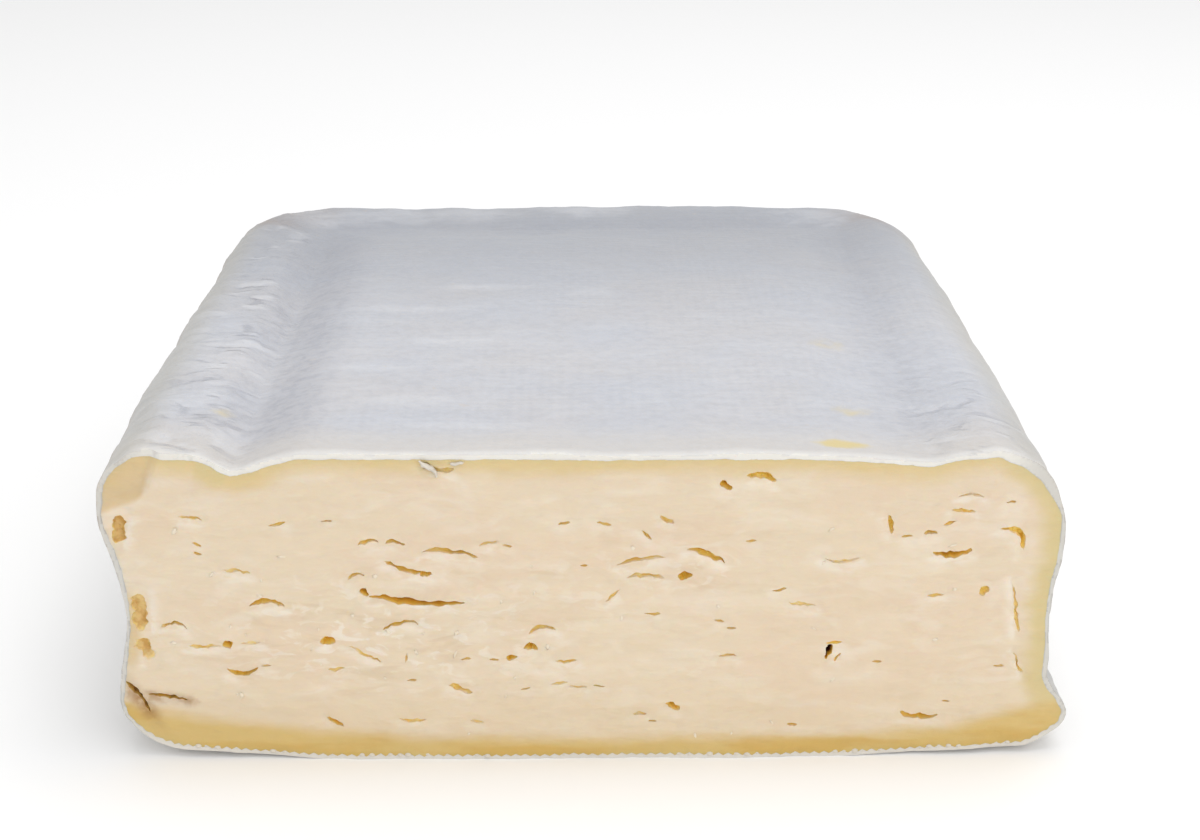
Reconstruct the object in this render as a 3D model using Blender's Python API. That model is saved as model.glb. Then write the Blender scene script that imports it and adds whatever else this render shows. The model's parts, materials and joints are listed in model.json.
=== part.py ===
"""A square block of white-rind soft cheese with its front cut off by a knife.

The block is one solid. A whole cheese is shaped first: a box grid whose points are moved
to the rounded plan, the pinched walls and the sunken trough inside the top's raised rim.
A knife then takes off the front, and lens-shaped cutters open the cracks and small holes
that the cut lays bare. Metres, +Z up, the cut facing -Y, origin under the middle.
"""

import math
import random

import bmesh
import bpy
from mathutils import Matrix, Vector, noise

MM = 0.001

# Overall size of the piece as it stands
WIDTH = 152 * MM
DEPTH = 152 * MM
HEIGHT = 54.6 * MM

# Roundings. A lean is what a value gains on the right wall and loses on the left one
CORNER_RADIUS = 21 * MM
SHOULDER_RADIUS = 9.8 * MM
SHOULDER_LEAN = 2.2 * MM
FOOT_RADIUS = 7.3 * MM
FOOT_RADIUS_LEAN = -2.2 * MM

# Walls: pinched in at mid height, bulging over it, spread at the foot, bowed out along the
# sides, and nearer together at the back
WAIST_DEPTH = 1.0 * MM
WAIST_LEAN = -1.0 * MM
WAIST_HEIGHT = 26 * MM
WAIST_REACH = 18 * MM
BULGE_WIDTH = 1.2 * MM
BULGE_HEIGHT = 42 * MM
BULGE_HEIGHT_LEAN = -2.5 * MM
BULGE_REACH = 11 * MM
SPREAD_WIDTH = 2.1 * MM
SPREAD_LEAN = 1.9 * MM
SPREAD_HEIGHT = 9 * MM
SPREAD_HEIGHT_LEAN = -3 * MM
SPREAD_REACH = 9 * MM
SIDE_BOW = 1.2 * MM
BACK_BOW = 3.0 * MM
TAPER = 2.8 * MM

# Top: the trough that runs round inside the rim, sharp and deep along the left wall. For each
# wall, the depth, and how far the trough reaches out to the rim and in to the flat middle
TROUGH_INSET = 21 * MM
TROUGH_LEFT = (3.0 * MM, 6.5 * MM, 12 * MM)
TROUGH_BACK = (1.5 * MM, 10 * MM, 16 * MM)
TROUGH_RIGHT = (1.7 * MM, 11 * MM, 20 * MM)
TROUGH_SHARPNESS = 0.5

# The underside is flat in the middle and slopes up a little towards the walls
LIFT_HEIGHT = 1.8 * MM
LIFT_LEAN = -0.4 * MM
LIFT_RANGE = TROUGH_INSET + TROUGH_LEFT[2]
FLAT_WITHIN = 0.001 * MM

# Slow swells of the soft rind, fading out towards the foot
SWELL_HEIGHT = 0.55 * MM
SWELL_LENGTH = 26 * MM
SWELL_FADE = 12 * MM

# The cut: its edges lie back, and it carries level smears from the knife
CUT_BOW = 1.6 * MM
SMEAR_DEPTH = 0.5 * MM
SMEAR_LENGTH = 16 * MM
SMEAR_HEIGHT = 5 * MM
SMEAR_PLACE = 3.7
SMEAR_OCTAVES = 2
OVERCUT = 8 * MM

# The flake torn off at the cut's upper left corner
CHIP_DEPTH = 1.4 * MM
CHIP_WIDTH = 8.5 * MM
CHIP_BOTTOM = 44 * MM
CHIP_SLOPE = 2.5 * MM

# Spacing of the grid lines over the roundings, the rim, the walls, the flat top and the cut
ROUND_STEP = 3.3 * MM
RIM_STEP = 4.6 * MM
WALL_STEP = 5.3 * MM
FLAT_STEP = 6.2 * MM
CUT_STEP = 3.0 * MM

# Openings that the cut lays bare, in millimetres on the cut face, seen from the front:
# centre across and up, length, gape, depth, tilt in degrees, arch
OPENINGS = {
    "long_crack": (-26.7, 29.5, 15.6, 1.3, 5.0, -4, -0.5),
    "long_crack_knot": (-35.0, 30.7, 1.8, 1.5, 3.4, -50, 0.0),
    "small_arch": (-36.3, 33.2, 3.0, 0.9, 2.2, 20, 0.8),
    "arched_crack": (-21.2, 37.4, 9.2, 1.1, 4.0, -5, 0.8),
    "stepped_crack": (-27.9, 35.2, 8.2, 1.0, 4.0, -18, -0.5),
    "stepped_crack_knot": (-25.1, 34.0, 2.0, 1.3, 3.4, 15, 0.0),
    "crack_above_left": (-34.1, 39.3, 3.4, 0.9, 2.6, 6, 0.4),
    "crack_above": (-29.8, 39.2, 3.2, 1.0, 2.8, 0, 0.5),
    "short_arch": (-29.4, 24.3, 6.0, 1.1, 3.2, 8, 1.0),
    "low_left_arch": (-50.9, 27.9, 5.8, 1.1, 3.2, 0, 1.1),
    "far_left_arch": (-66.3, 24.0, 4.4, 0.9, 2.6, 0, 0.9),
    "left_hole": (-57.6, 21.2, 1.9, 1.6, 3.2, 25, 0.0),
    "left_hook": (-55.6, 16.5, 5.2, 1.2, 3.4, 4, -0.9),
    "mid_left_hole": (-41.4, 21.7, 2.6, 1.6, 3.4, -5, 0.4),
    "low_slit": (-40.9, 6.9, 3.2, 0.9, 2.4, -28, 0.0),
    "middle_arch": (-6.6, 23.6, 4.6, 1.0, 3.0, 8, 0.8),
    "middle_hole": (-8.5, 20.4, 2.4, 1.4, 3.2, 0, 0.3),
    "middle_pit": (-11.6, 18.8, 1.9, 1.2, 2.6, 10, 0.0),
    "low_middle_slit": (-20.0, 13.3, 4.2, 1.1, 2.6, -20, 0.0),
    "top_hole": (22.6, 49.3, 2.2, 1.9, 3.6, -35, 0.0),
    "top_arch": (28.2, 50.2, 5.0, 1.2, 3.4, -14, 0.7),
    "upper_slit": (13.4, 43.5, 2.6, 0.9, 2.2, -32, 0.0),
    "fine_crack": (9.2, 36.1, 8.0, 0.8, 2.6, 12, 0.4),
    "long_slope": (19.7, 37.0, 6.6, 1.1, 3.6, -20, 0.4),
    "fine_arch": (10.3, 33.2, 6.6, 0.9, 2.6, -4, 0.4),
    "dark_hole": (16.4, 33.5, 2.4, 1.5, 3.6, 0, 0.0),
    "low_hole": (14.7, 9.9, 2.7, 1.5, 3.4, -26, 0.0),
    "upright_crack": (49.0, 42.1, 3.4, 1.0, 3.0, -76, 0.0),
    "right_crack": (59.2, 37.4, 6.4, 1.4, 4.6, 2, -0.7),
    "right_dimple": (55.5, 40.5, 2.2, 1.2, 2.4, 0, 0.3),
    "right_pocket": (68.6, 39.2, 4.8, 1.1, 2.4, -48, 1.5),
    "right_chip": (64.8, 30.0, 2.0, 1.6, 2.6, 60, 0.0),
    "right_upper_slit": (61.6, 46.7, 4.2, 0.8, 2.0, 0, 0.3),
    "black_hole": (40.0, 19.6, 2.8, 1.5, 4.2, 68, 0.0),
    "low_right_crack": (55.5, 7.6, 6.4, 1.4, 3.8, -8, -0.5),
    "wide_v": (41.5, 36.6, 6.4, 0.8, 1.8, 0, -0.8),
    "edge_gap_upper": (-73.8, 41.6, 4.6, 2.2, 1.8, 74, 0.0),
    "edge_gap_middle": (-71.4, 26.6, 6.6, 2.6, 1.7, 88, 0.0),
    "edge_gap_lower": (-71.4, 19.9, 4.4, 2.0, 1.5, -62, 0.5),
    "edge_fold": (-73.3, 11.3, 7.0, 0.9, 1.8, -58, 0.6),
    "edge_branch": (-68.3, 11.1, 6.6, 0.8, 1.5, -9, 0.4),
    "rind_nick": (-22.8, 52.8, 5.6, 1.4, 3.0, -12, -0.8),
}

# Rings and stations of an opening's mesh, and how uneven its lips are
LONG_OPENING = 4 * MM
LONG_MESH = (8, 6)
SHORT_MESH = (7, 4)
RAGGED_SHARE = 0.35
RAGGED_DETAIL = 1.4
WANDER_SHARE = 0.25
WANDER_LENGTH = 2.5 * MM

# Small pits scattered over the lower part of the cut
PIT_COUNT = 14
PIT_SEED = 11
PIT_SIZES = (1.2 * MM, 2.6 * MM)
PIT_GAPE_SHARE = 0.55
PIT_SPAN = 0.44 * WIDTH
PIT_HEIGHTS = (5.3 * MM, 33 * MM)
PIT_TILT = 25

RIND_COLOUR = (0.62, 0.63, 0.64, 1)
RIND_ROUGHNESS = 0.85
PASTE_COLOUR = (0.80, 0.66, 0.44, 1)
PASTE_ROUGHNESS = 0.45


def clear_scene():
    for obj in list(bpy.data.objects):
        bpy.data.objects.remove(obj, do_unlink=True)


def new_collection(name, rendered=True):
    collection = bpy.data.collections.new(name)
    bpy.context.scene.collection.children.link(collection)
    collection.hide_render = not rendered
    return collection


def new_material(name, colour, roughness):
    material = bpy.data.materials.new(name)
    material.use_nodes = True
    shader = material.node_tree.nodes["Principled BSDF"]
    shader.inputs["Base Color"].default_value = colour
    shader.inputs["Roughness"].default_value = roughness
    shader.inputs["Metallic"].default_value = 0.0
    return material


def new_object(name, bm, collection, material):
    """The finished bmesh as an object of its own."""
    mesh = bpy.data.meshes.new(name)
    bm.to_mesh(mesh)
    bm.free()
    mesh.materials.append(material)
    obj = bpy.data.objects.new(name, mesh)
    collection.objects.link(obj)
    return obj


def smooth(value):
    """0 below 0, 1 above 1, and a soft step between."""
    value = min(max(value, 0.0), 1.0)
    return value * value * (3 - 2 * value)


def bell(distance, reach):
    """1 at distance 0, falling softly to nothing at the reach."""
    return 1 - smooth(abs(distance) / reach)


def divided(stations, steps):
    """Every station, with each stretch between two of them cut evenly into pieces near its step."""
    lines = [stations[0]]
    for start, end, step in zip(stations, stations[1:], steps):
        pieces = max(1, round((end - start) / step))
        lines += [start + (end - start) * i / pieces for i in range(1, pieces + 1)]
    return lines


def box_grid(name, collection, material, x_lines, y_lines, z_lines):
    """A closed box of quads whose edges run along the given lines, cut from a unit cube."""
    bm = bmesh.new()
    bmesh.ops.create_cube(bm, size=1, matrix=Matrix.Translation((0.5, 0.5, 0.5)))
    every_axis = (x_lines, y_lines, z_lines)
    for axis, lines in enumerate(every_axis):
        along = [
            edge
            for edge in bm.edges
            if abs(edge.verts[0].co[axis] - edge.verts[1].co[axis]) > 0.5
        ]
        bmesh.ops.subdivide_edges(bm, edges=along, cuts=len(lines) - 2, use_grid_fill=True)
    for vert in bm.verts:
        shares = tuple(vert.co)
        vert.co = [
            lines[round(share * (len(lines) - 1))]
            for share, lines in zip(shares, every_axis)
        ]
    return new_object(name, bm, collection, material)


def plan_place(x, y):
    """The point with the back corners rounded, the way out from it, and its distance inside the walls."""
    from_side = WIDTH / 2 - abs(x)
    from_back = DEPTH / 2 - y
    side = math.copysign(1, x)
    across, along = CORNER_RADIUS - from_side, CORNER_RADIUS - from_back
    if across > 0 and along > 0:
        pull = max(across, along) / math.hypot(across, along)
        centre = Vector((side * (WIDTH / 2 - CORNER_RADIUS), DEPTH / 2 - CORNER_RADIUS))
        arm = Vector((side * across, along)) * pull
        return centre + arm, arm.normalized(), CORNER_RADIUS - arm.length
    if from_side <= from_back:
        return Vector((x, y)), Vector((side, 0)), from_side
    return Vector((x, y)), Vector((0, 1)), from_back


def rounded(inset, height, radius):
    """A square corner in the upright section turned into an arc of the radius."""
    across, up = radius - inset, height
    if across <= 0 or up <= 0:
        return inset, height
    pull = max(across, up) / math.hypot(across, up)
    return radius - across * pull, up * pull


def wall_offset(place, out, z):
    """How far the wall stands out from the plain plan at this place and height."""
    waist = -(WAIST_DEPTH + WAIST_LEAN * out.x) * bell(z - WAIST_HEIGHT, WAIST_REACH)
    bulge_height = BULGE_HEIGHT + BULGE_HEIGHT_LEAN * out.x
    bulge = BULGE_WIDTH * bell(z - bulge_height, BULGE_REACH)
    spread_height = SPREAD_HEIGHT + SPREAD_HEIGHT_LEAN * out.x
    spread = (SPREAD_WIDTH + SPREAD_LEAN * out.x) * bell(z - spread_height, SPREAD_REACH)
    side_bow = SIDE_BOW * abs(out.x) * (1 - (2 * place.y / DEPTH) ** 2)
    back_bow = -BACK_BOW * max(out.y, 0) * (2 * place.x / WIDTH) ** 2
    taper = -TAPER * abs(out.x) * (0.5 + place.y / DEPTH)
    return waist + bulge + spread + side_bow + back_bow + taper


def trough_depth(place, inset):
    """How far the top sinks in the trough, by the distance inside the walls and the nearest wall."""
    near_back = smooth((place.y - DEPTH / 2 + 2 * TROUGH_INSET) / TROUGH_INSET)
    by_side = TROUGH_LEFT if place.x < 0 else TROUGH_RIGHT
    depth, outer, inner = (
        side + (back - side) * near_back for side, back in zip(by_side, TROUGH_BACK)
    )
    off = inset - TROUGH_INSET
    reach = outer if off < 0 else inner
    crease = max(0.0, 1 - abs(off) / reach) ** 2
    return depth * (crease * TROUGH_SHARPNESS + bell(off, reach) * (1 - TROUGH_SHARPNESS))


def cheese_point(point):
    """Where a point of the plain box ends up on the whole cheese."""
    place, out, start = plan_place(point.x, point.y)
    shoulder = SHOULDER_RADIUS + SHOULDER_LEAN * out.x
    foot = FOOT_RADIUS + FOOT_RADIUS_LEAN * out.x
    if point.z > HEIGHT / 2:
        inset, up = rounded(start, point.z - (HEIGHT - shoulder), shoulder)
        z = HEIGHT - shoulder + up
    else:
        inset, down = rounded(start, foot - point.z, foot)
        z = foot - down
    place = place - out * (inset - start)
    on_wall = bell(inset, CORNER_RADIUS)
    offset = wall_offset(place, out, z) * on_wall
    above = smooth((z - HEIGHT / 2) / (HEIGHT / 4))
    z -= trough_depth(place, inset) * above
    lift = (LIFT_HEIGHT + LIFT_LEAN * out.x) * max(0.0, 1 - inset / LIFT_RANGE)
    z += lift * (1 - above) * bell(z, FOOT_RADIUS * 2)
    moved = Vector((place.x + out.x * offset, place.y + out.y * offset, z))
    swell = SWELL_HEIGHT * noise.noise(moved / SWELL_LENGTH) * smooth(z / SWELL_FADE)
    moved += Vector((out.x * on_wall, out.y * on_wall, above)) * swell
    return moved


def chip(x, z):
    """Where the torn flake is missing, from 0 outside it to 1."""
    inside = smooth((CHIP_WIDTH - WIDTH / 2 - x) / CHIP_SLOPE)
    above = smooth((z - CHIP_BOTTOM) / CHIP_SLOPE)
    return inside * above


def cut_depth(x, z):
    """How far behind the foremost plane the cut lies, across and up its face."""
    bow = CUT_BOW * (2 * x / WIDTH) ** 2
    place = Vector((x / SMEAR_LENGTH, SMEAR_PLACE, z / SMEAR_HEIGHT))
    smears = SMEAR_DEPTH * noise.fractal(place, 1.0, 2.0, SMEAR_OCTAVES)
    return bow + smears + CHIP_DEPTH * chip(x, z)


def make_cheese(collection, material):
    """The whole cheese, longer than the piece by what the knife takes off."""
    half, back, front = WIDTH / 2, DEPTH / 2, -DEPTH / 2 - OVERCUT
    shoulder = SHOULDER_RADIUS + SHOULDER_LEAN
    valley = half - TROUGH_INSET
    flat = valley - TROUGH_LEFT[2]
    x_lines = divided(
        [-half, -half + shoulder, -valley, -flat, flat, valley, half - shoulder, half],
        [ROUND_STEP, RIM_STEP, ROUND_STEP, FLAT_STEP, FLAT_STEP, RIM_STEP, ROUND_STEP],
    )
    y_lines = divided(
        [front, back - TROUGH_INSET, back - shoulder, back],
        [FLAT_STEP, RIM_STEP, ROUND_STEP],
    )
    z_lines = divided(
        [0, FOOT_RADIUS, HEIGHT - shoulder, HEIGHT],
        [ROUND_STEP, WALL_STEP, ROUND_STEP],
    )
    obj = box_grid("brie", collection, material, x_lines, y_lines, z_lines)
    for vert in obj.data.vertices:
        vert.co = cheese_point(vert.co)
    merge_flat_underside(obj.data)
    obj.data.shade_smooth()
    return obj


def merge_flat_underside(mesh):
    """One face in place of the grid where the cheese stands flat."""
    bm = bmesh.new()
    bm.from_mesh(mesh)
    flat = [face for face in bm.faces if all(abs(vert.co.z) < FLAT_WITHIN for vert in face.verts)]
    bmesh.ops.dissolve_faces(bm, faces=flat, use_verts=False)
    bm.to_mesh(mesh)
    bm.free()


def make_knife(collection, material):
    """The block of space that the knife clears in front of the cut."""
    reach = WIDTH / 2 + 2 * OVERCUT
    front = -DEPTH / 2
    x_lines = divided([-reach, reach], [CUT_STEP])
    z_lines = divided([-OVERCUT, HEIGHT + OVERCUT], [CUT_STEP])
    obj = box_grid("knife", collection, material, x_lines, [front - 3 * OVERCUT, front], z_lines)
    for vert in obj.data.vertices:
        if vert.co.y > front - OVERCUT:
            vert.co.y += cut_depth(vert.co.x, vert.co.z)
    return obj


def make_opening(name, collection, material, across, up, sizes, tilt, arch):
    """A lens-shaped cutter set on the cut face: length, gape and depth, bent to an arch."""
    length, gape, depth = sizes
    around, along = LONG_MESH if length > LONG_OPENING else SHORT_MESH
    bm = bmesh.new()
    bmesh.ops.create_uvsphere(bm, u_segments=around, v_segments=along, radius=1)
    for vert in bm.verts:
        spot = vert.co * RAGGED_DETAIL + Vector((across, up, 0)) / MM
        ragged = 1 + RAGGED_SHARE * noise.noise(spot)
        x = vert.co.z * length / 2
        wander = noise.noise(Vector((x / WANDER_LENGTH, across / MM, up / MM)))
        bend = arch * (1 - vert.co.z**2) + WANDER_SHARE * gape * wander
        vert.co = (x, vert.co.x * depth * ragged, vert.co.y * gape / 2 * ragged + bend)
    obj = new_object(name, bm, collection, material)
    obj.location = (across, -DEPTH / 2 + cut_depth(across, up), up)
    obj.rotation_euler = (0, -tilt, 0)
    return obj


def make_openings(collection, material):
    """The cracks and holes seen on the cut, then small pits scattered between them."""
    for name, (across, up, length, gape, depth, tilt, arch) in OPENINGS.items():
        sizes = (length * MM, gape * MM, depth * MM)
        make_opening(
            name, collection, material, across * MM, up * MM, sizes, math.radians(tilt), arch * MM
        )
    draw = random.Random(PIT_SEED)
    for i in range(PIT_COUNT):
        across = draw.uniform(-PIT_SPAN, PIT_SPAN)
        up = draw.uniform(*PIT_HEIGHTS)
        length = draw.uniform(*PIT_SIZES)
        sizes = (length, length * PIT_GAPE_SHARE, length * PIT_GAPE_SHARE)
        tilt = math.radians(draw.uniform(-PIT_TILT, PIT_TILT))
        make_opening(f"pit_{i:02d}", collection, material, across, up, sizes, tilt, 0)


def add_cut(obj, cutters):
    modifier = obj.modifiers.new("cut", "BOOLEAN")
    modifier.operation = "DIFFERENCE"
    modifier.operand_type = "COLLECTION"
    modifier.collection = cutters
    modifier.solver = "EXACT"
    modifier.material_mode = "TRANSFER"


def shells_of(bm):
    """The mesh's separate shells, each a list of its points."""
    left = set(bm.verts)
    shells = []
    while left:
        shell, waiting = [], [left.pop()]
        while waiting:
            vert = waiting.pop()
            shell.append(vert)
            for edge in vert.link_edges:
                other = edge.other_vert(vert)
                if other in left:
                    left.remove(other)
                    waiting.append(other)
        shells.append(shell)
    return shells


def apply_cut(obj):
    """Bakes the cuts into the mesh and drops any scrap or bubble that they leave loose."""
    graph = bpy.context.evaluated_depsgraph_get()
    mesh = bpy.data.meshes.new_from_object(obj.evaluated_get(graph))
    obj.modifiers.clear()
    obj.data = mesh
    bm = bmesh.new()
    bm.from_mesh(mesh)
    shells = sorted(shells_of(bm), key=len)
    for shell in shells[:-1]:
        bmesh.ops.delete(bm, geom=shell, context="VERTS")
    bm.to_mesh(mesh)
    bm.free()


def centre(obj):
    """Puts the origin under the middle of the piece, where it rests."""
    places = [vert.co.copy() for vert in obj.data.vertices]
    low = Vector([min(place[axis] for place in places) for axis in range(3)])
    high = Vector([max(place[axis] for place in places) for axis in range(3)])
    foot = (low + high) / 2
    foot.z = low.z
    obj.data.transform(Matrix.Translation(-foot))


def main():
    clear_scene()
    parts = new_collection("brie_block")
    cutters = new_collection("cutters", rendered=False)
    rind = new_material("rind", RIND_COLOUR, RIND_ROUGHNESS)
    paste = new_material("paste", PASTE_COLOUR, PASTE_ROUGHNESS)
    cheese = make_cheese(parts, rind)
    make_knife(cutters, paste)
    make_openings(cutters, paste)
    for cutter in cutters.objects:
        cutter.hide_render = True
        cutter.display_type = "WIRE"
    add_cut(cheese, cutters)
    bpy.context.view_layer.update()
    apply_cut(cheese)
    centre(cheese)


main()
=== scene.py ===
# %% [markdown]
# # A square block of brie, cut open
#
# The real thing is a square white-rind cheese whose front was cut off with a knife. The
# top and the walls are a velvety, cool white rind, a little over a millimetre thick. The
# cut shows the paste: pale cream in the middle, a deeper yellow line under the rind, level
# smears from the blade, and cracks and small holes where the curd never closed.
#
# The CAD model gives the block as one solid. Here it is dressed as two pieces that share
# its form, because a cook sees two materials: the rind, a thin skin, and the paste inside
# it. Both come from the same rules as the solid, only with finer steps, so nothing has to
# be fitted by eye. This first cell loads the solid as a fixed frame and keeps its box.

# %% Load the frame
import json
import math

import bmesh
import bpy
import numpy as np
from mathutils import Matrix, Vector, noise

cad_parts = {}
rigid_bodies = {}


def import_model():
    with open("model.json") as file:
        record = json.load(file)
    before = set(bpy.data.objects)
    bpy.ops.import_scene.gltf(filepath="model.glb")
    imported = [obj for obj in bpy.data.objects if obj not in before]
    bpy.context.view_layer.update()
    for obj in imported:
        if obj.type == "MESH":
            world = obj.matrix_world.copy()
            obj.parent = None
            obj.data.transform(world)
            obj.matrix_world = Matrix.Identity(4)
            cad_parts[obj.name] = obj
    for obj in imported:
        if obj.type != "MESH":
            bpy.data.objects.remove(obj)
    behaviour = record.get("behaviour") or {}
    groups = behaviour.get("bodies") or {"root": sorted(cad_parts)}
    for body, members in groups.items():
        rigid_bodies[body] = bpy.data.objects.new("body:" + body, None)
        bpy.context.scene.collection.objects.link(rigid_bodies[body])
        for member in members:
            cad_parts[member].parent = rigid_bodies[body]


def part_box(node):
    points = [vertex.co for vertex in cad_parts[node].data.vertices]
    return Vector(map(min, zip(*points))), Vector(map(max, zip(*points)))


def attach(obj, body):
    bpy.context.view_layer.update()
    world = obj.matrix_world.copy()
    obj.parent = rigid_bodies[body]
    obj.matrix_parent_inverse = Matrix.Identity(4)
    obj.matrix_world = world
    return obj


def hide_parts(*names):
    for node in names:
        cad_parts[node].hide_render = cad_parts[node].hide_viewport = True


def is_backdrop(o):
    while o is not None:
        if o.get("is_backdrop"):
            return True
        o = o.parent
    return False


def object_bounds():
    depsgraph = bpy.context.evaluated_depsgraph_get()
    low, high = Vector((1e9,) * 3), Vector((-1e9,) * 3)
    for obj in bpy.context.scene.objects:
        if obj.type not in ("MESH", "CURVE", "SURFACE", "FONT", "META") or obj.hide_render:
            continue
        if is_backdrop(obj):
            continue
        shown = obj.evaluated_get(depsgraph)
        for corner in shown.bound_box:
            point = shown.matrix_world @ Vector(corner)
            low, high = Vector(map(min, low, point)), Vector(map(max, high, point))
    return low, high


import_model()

cad_box = [list(corner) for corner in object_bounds()]
block_low, block_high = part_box("brie")
print("solid's box in mm:", [round((high - low) * 1000, 1) for low, high in zip(*cad_box)])

# %% [markdown]
# ## The sizes of the block
#
# A learner could model the block by pushing points about in Edit Mode. That gives one
# block. Named sizes and a few rules give every block of the kind, and they can be checked
# against a ruler. All sizes are in metres, and `MM` keeps them readable.

# %% Sizes of the block
MM = 0.001
WIDTH, DEPTH, HEIGHT = 152 * MM, 152 * MM, 54.6 * MM
CORNER_RADIUS = 21 * MM
OVERCUT = 8 * MM
FRONT = -DEPTH / 2

# %% [markdown]
# ## Small helpers for soft shapes
#
# Soft food has no hard steps, so nearly every rule below uses one of two curves: `smooth`
# rises from 0 to 1 without a corner, and `bell` falls softly from 1 to 0. `rise` and
# `near` are the same two curves for a place and a length in millimetres. All work on
# whole NumPy arrays, because the fine pieces have over a hundred thousand points.
#
# The slow unevenness comes from Blender's own noise, asked point by point.

# %% Soft curves and noise
def smooth(value):
    """0 below 0, 1 above 1, and a soft step between."""
    value = np.clip(value, 0.0, 1.0)
    return value * value * (3 - 2 * value)


def bell(distance, reach):
    """1 at distance 0, falling softly to nothing at the reach."""
    return 1 - smooth(np.abs(distance) / reach)


def rise(values, start, length):
    """0 up to the start and 1 from the length past it, both in mm."""
    return smooth((values - start * MM) / (length * MM))


def near(values, place, reach):
    """1 at the place and 0 from the reach to both sides of it, both in mm."""
    return bell(values - place * MM, reach * MM)


def noise_at(points, octaves=1):
    """Smooth noise from -1 to 1 at each row of an array of points."""
    if octaves == 1:
        return np.array([noise.noise(point) for point in points.tolist()])
    return np.array([noise.fractal(point, 1.0, 2.0, octaves) for point in points.tolist()])


print("bell over its reach:", np.round(bell(np.linspace(0, 1, 5), 1.0), 2))

# %% [markdown]
# ## From a plain box to a cheese
#
# The form starts as a box whose points are then moved. In plan its back corners are
# rounded. In section the shoulder and the foot are rounded, more on one side than on the
# other. The walls are pinched at mid height, bulge above it and spread at the foot, as a
# soft cheese does under its own weight. The top has a raised rim with a shallow trough
# inside it, sharp and deep along the left wall.
#
# The same rules give the solid of the CAD model, so this piece keeps its form. A `lean`
# is what a value gains on the right wall and loses on the left one.

# %% The plan and the section
SHOULDER_RADIUS, SHOULDER_LEAN = 9.8 * MM, 2.2 * MM
FOOT_RADIUS, FOOT_RADIUS_LEAN = 7.3 * MM, -2.2 * MM
WAIST_DEPTH, WAIST_LEAN, WAIST_HEIGHT, WAIST_REACH = 1.0 * MM, -1.0 * MM, 26 * MM, 18 * MM
BULGE_WIDTH, BULGE_HEIGHT, BULGE_HEIGHT_LEAN, BULGE_REACH = 1.2 * MM, 42 * MM, -2.5 * MM, 11 * MM
SPREAD_WIDTH, SPREAD_LEAN = 2.1 * MM, 1.9 * MM
SPREAD_HEIGHT, SPREAD_HEIGHT_LEAN, SPREAD_REACH = 9 * MM, -3 * MM, 9 * MM
SIDE_BOW, BACK_BOW, TAPER = 1.2 * MM, 3.0 * MM, 2.8 * MM


def plan_place(x, y):
    """Points with the back corners rounded, the way out from each, and its distance inside."""
    from_side, from_back = WIDTH / 2 - np.abs(x), DEPTH / 2 - y
    side = np.where(x < 0, -1.0, 1.0)
    across, along = CORNER_RADIUS - from_side, CORNER_RADIUS - from_back
    corner = (across > 0) & (along > 0)
    length = np.maximum(np.hypot(across, along), 1e-9)
    pull = np.maximum(across, along) / length
    middle_x, middle_y = side * (WIDTH / 2 - CORNER_RADIUS), DEPTH / 2 - CORNER_RADIUS
    place_x = np.where(corner, middle_x + side * across * pull, x)
    place_y = np.where(corner, middle_y + along * pull, y)
    nearer_side = from_side <= from_back
    out_x = np.where(corner, side * across / length, np.where(nearer_side, side, 0.0))
    out_y = np.where(corner, along / length, np.where(nearer_side, 0.0, 1.0))
    inset = np.where(corner, CORNER_RADIUS - length * pull, np.minimum(from_side, from_back))
    return place_x, place_y, out_x, out_y, inset


def rounded(inset, height, radius):
    """A square corner in the upright section turned into an arc of the radius."""
    across, up = radius - inset, height
    pull = np.maximum(across, up) / np.maximum(np.hypot(across, up), 1e-9)
    inside = (across > 0) & (up > 0)
    return np.where(inside, radius - across * pull, inset), np.where(inside, up * pull, height)


def wall_offset(x, y, z, out_x, out_y):
    """How far the wall stands out from the plain plan at these places."""
    waist = -(WAIST_DEPTH + WAIST_LEAN * out_x) * bell(z - WAIST_HEIGHT, WAIST_REACH)
    bulge = BULGE_WIDTH * bell(z - BULGE_HEIGHT - BULGE_HEIGHT_LEAN * out_x, BULGE_REACH)
    spread_height = SPREAD_HEIGHT + SPREAD_HEIGHT_LEAN * out_x
    spread = (SPREAD_WIDTH + SPREAD_LEAN * out_x) * bell(z - spread_height, SPREAD_REACH)
    side_bow = SIDE_BOW * np.abs(out_x) * (1 - (2 * y / DEPTH) ** 2)
    back_bow = -BACK_BOW * np.maximum(out_y, 0) * (2 * x / WIDTH) ** 2
    taper = -TAPER * np.abs(out_x) * (0.5 + y / DEPTH)
    return waist + bulge + spread + side_bow + back_bow + taper


# %% The trough in the top and the whole form
TROUGH_INSET, TROUGH_SHARPNESS = 21 * MM, 0.5
TROUGH_LEFT = (3.0 * MM, 6.5 * MM, 12 * MM)
TROUGH_BACK = (1.5 * MM, 10 * MM, 16 * MM)
TROUGH_RIGHT = (1.7 * MM, 11 * MM, 20 * MM)
LIFT_HEIGHT, LIFT_LEAN, LIFT_RANGE = 1.8 * MM, -0.4 * MM, TROUGH_INSET + TROUGH_LEFT[2]
SWELL_HEIGHT, SWELL_LENGTH, SWELL_FADE = 0.55 * MM, 26 * MM, 12 * MM


def trough_depth(x, y, inset):
    """How far the top sinks, by the distance inside the walls and the nearest wall."""
    near_back = smooth((y - DEPTH / 2 + 2 * TROUGH_INSET) / TROUGH_INSET)
    depth, outer, inner = (
        np.where(x < 0, left, right) * (1 - near_back) + back * near_back
        for left, right, back in zip(TROUGH_LEFT, TROUGH_RIGHT, TROUGH_BACK)
    )
    off = inset - TROUGH_INSET
    reach = np.where(off < 0, outer, inner)
    crease = np.maximum(0.0, 1 - np.abs(off) / reach) ** 2
    return depth * (crease * TROUGH_SHARPNESS + bell(off, reach) * (1 - TROUGH_SHARPNESS))


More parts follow.
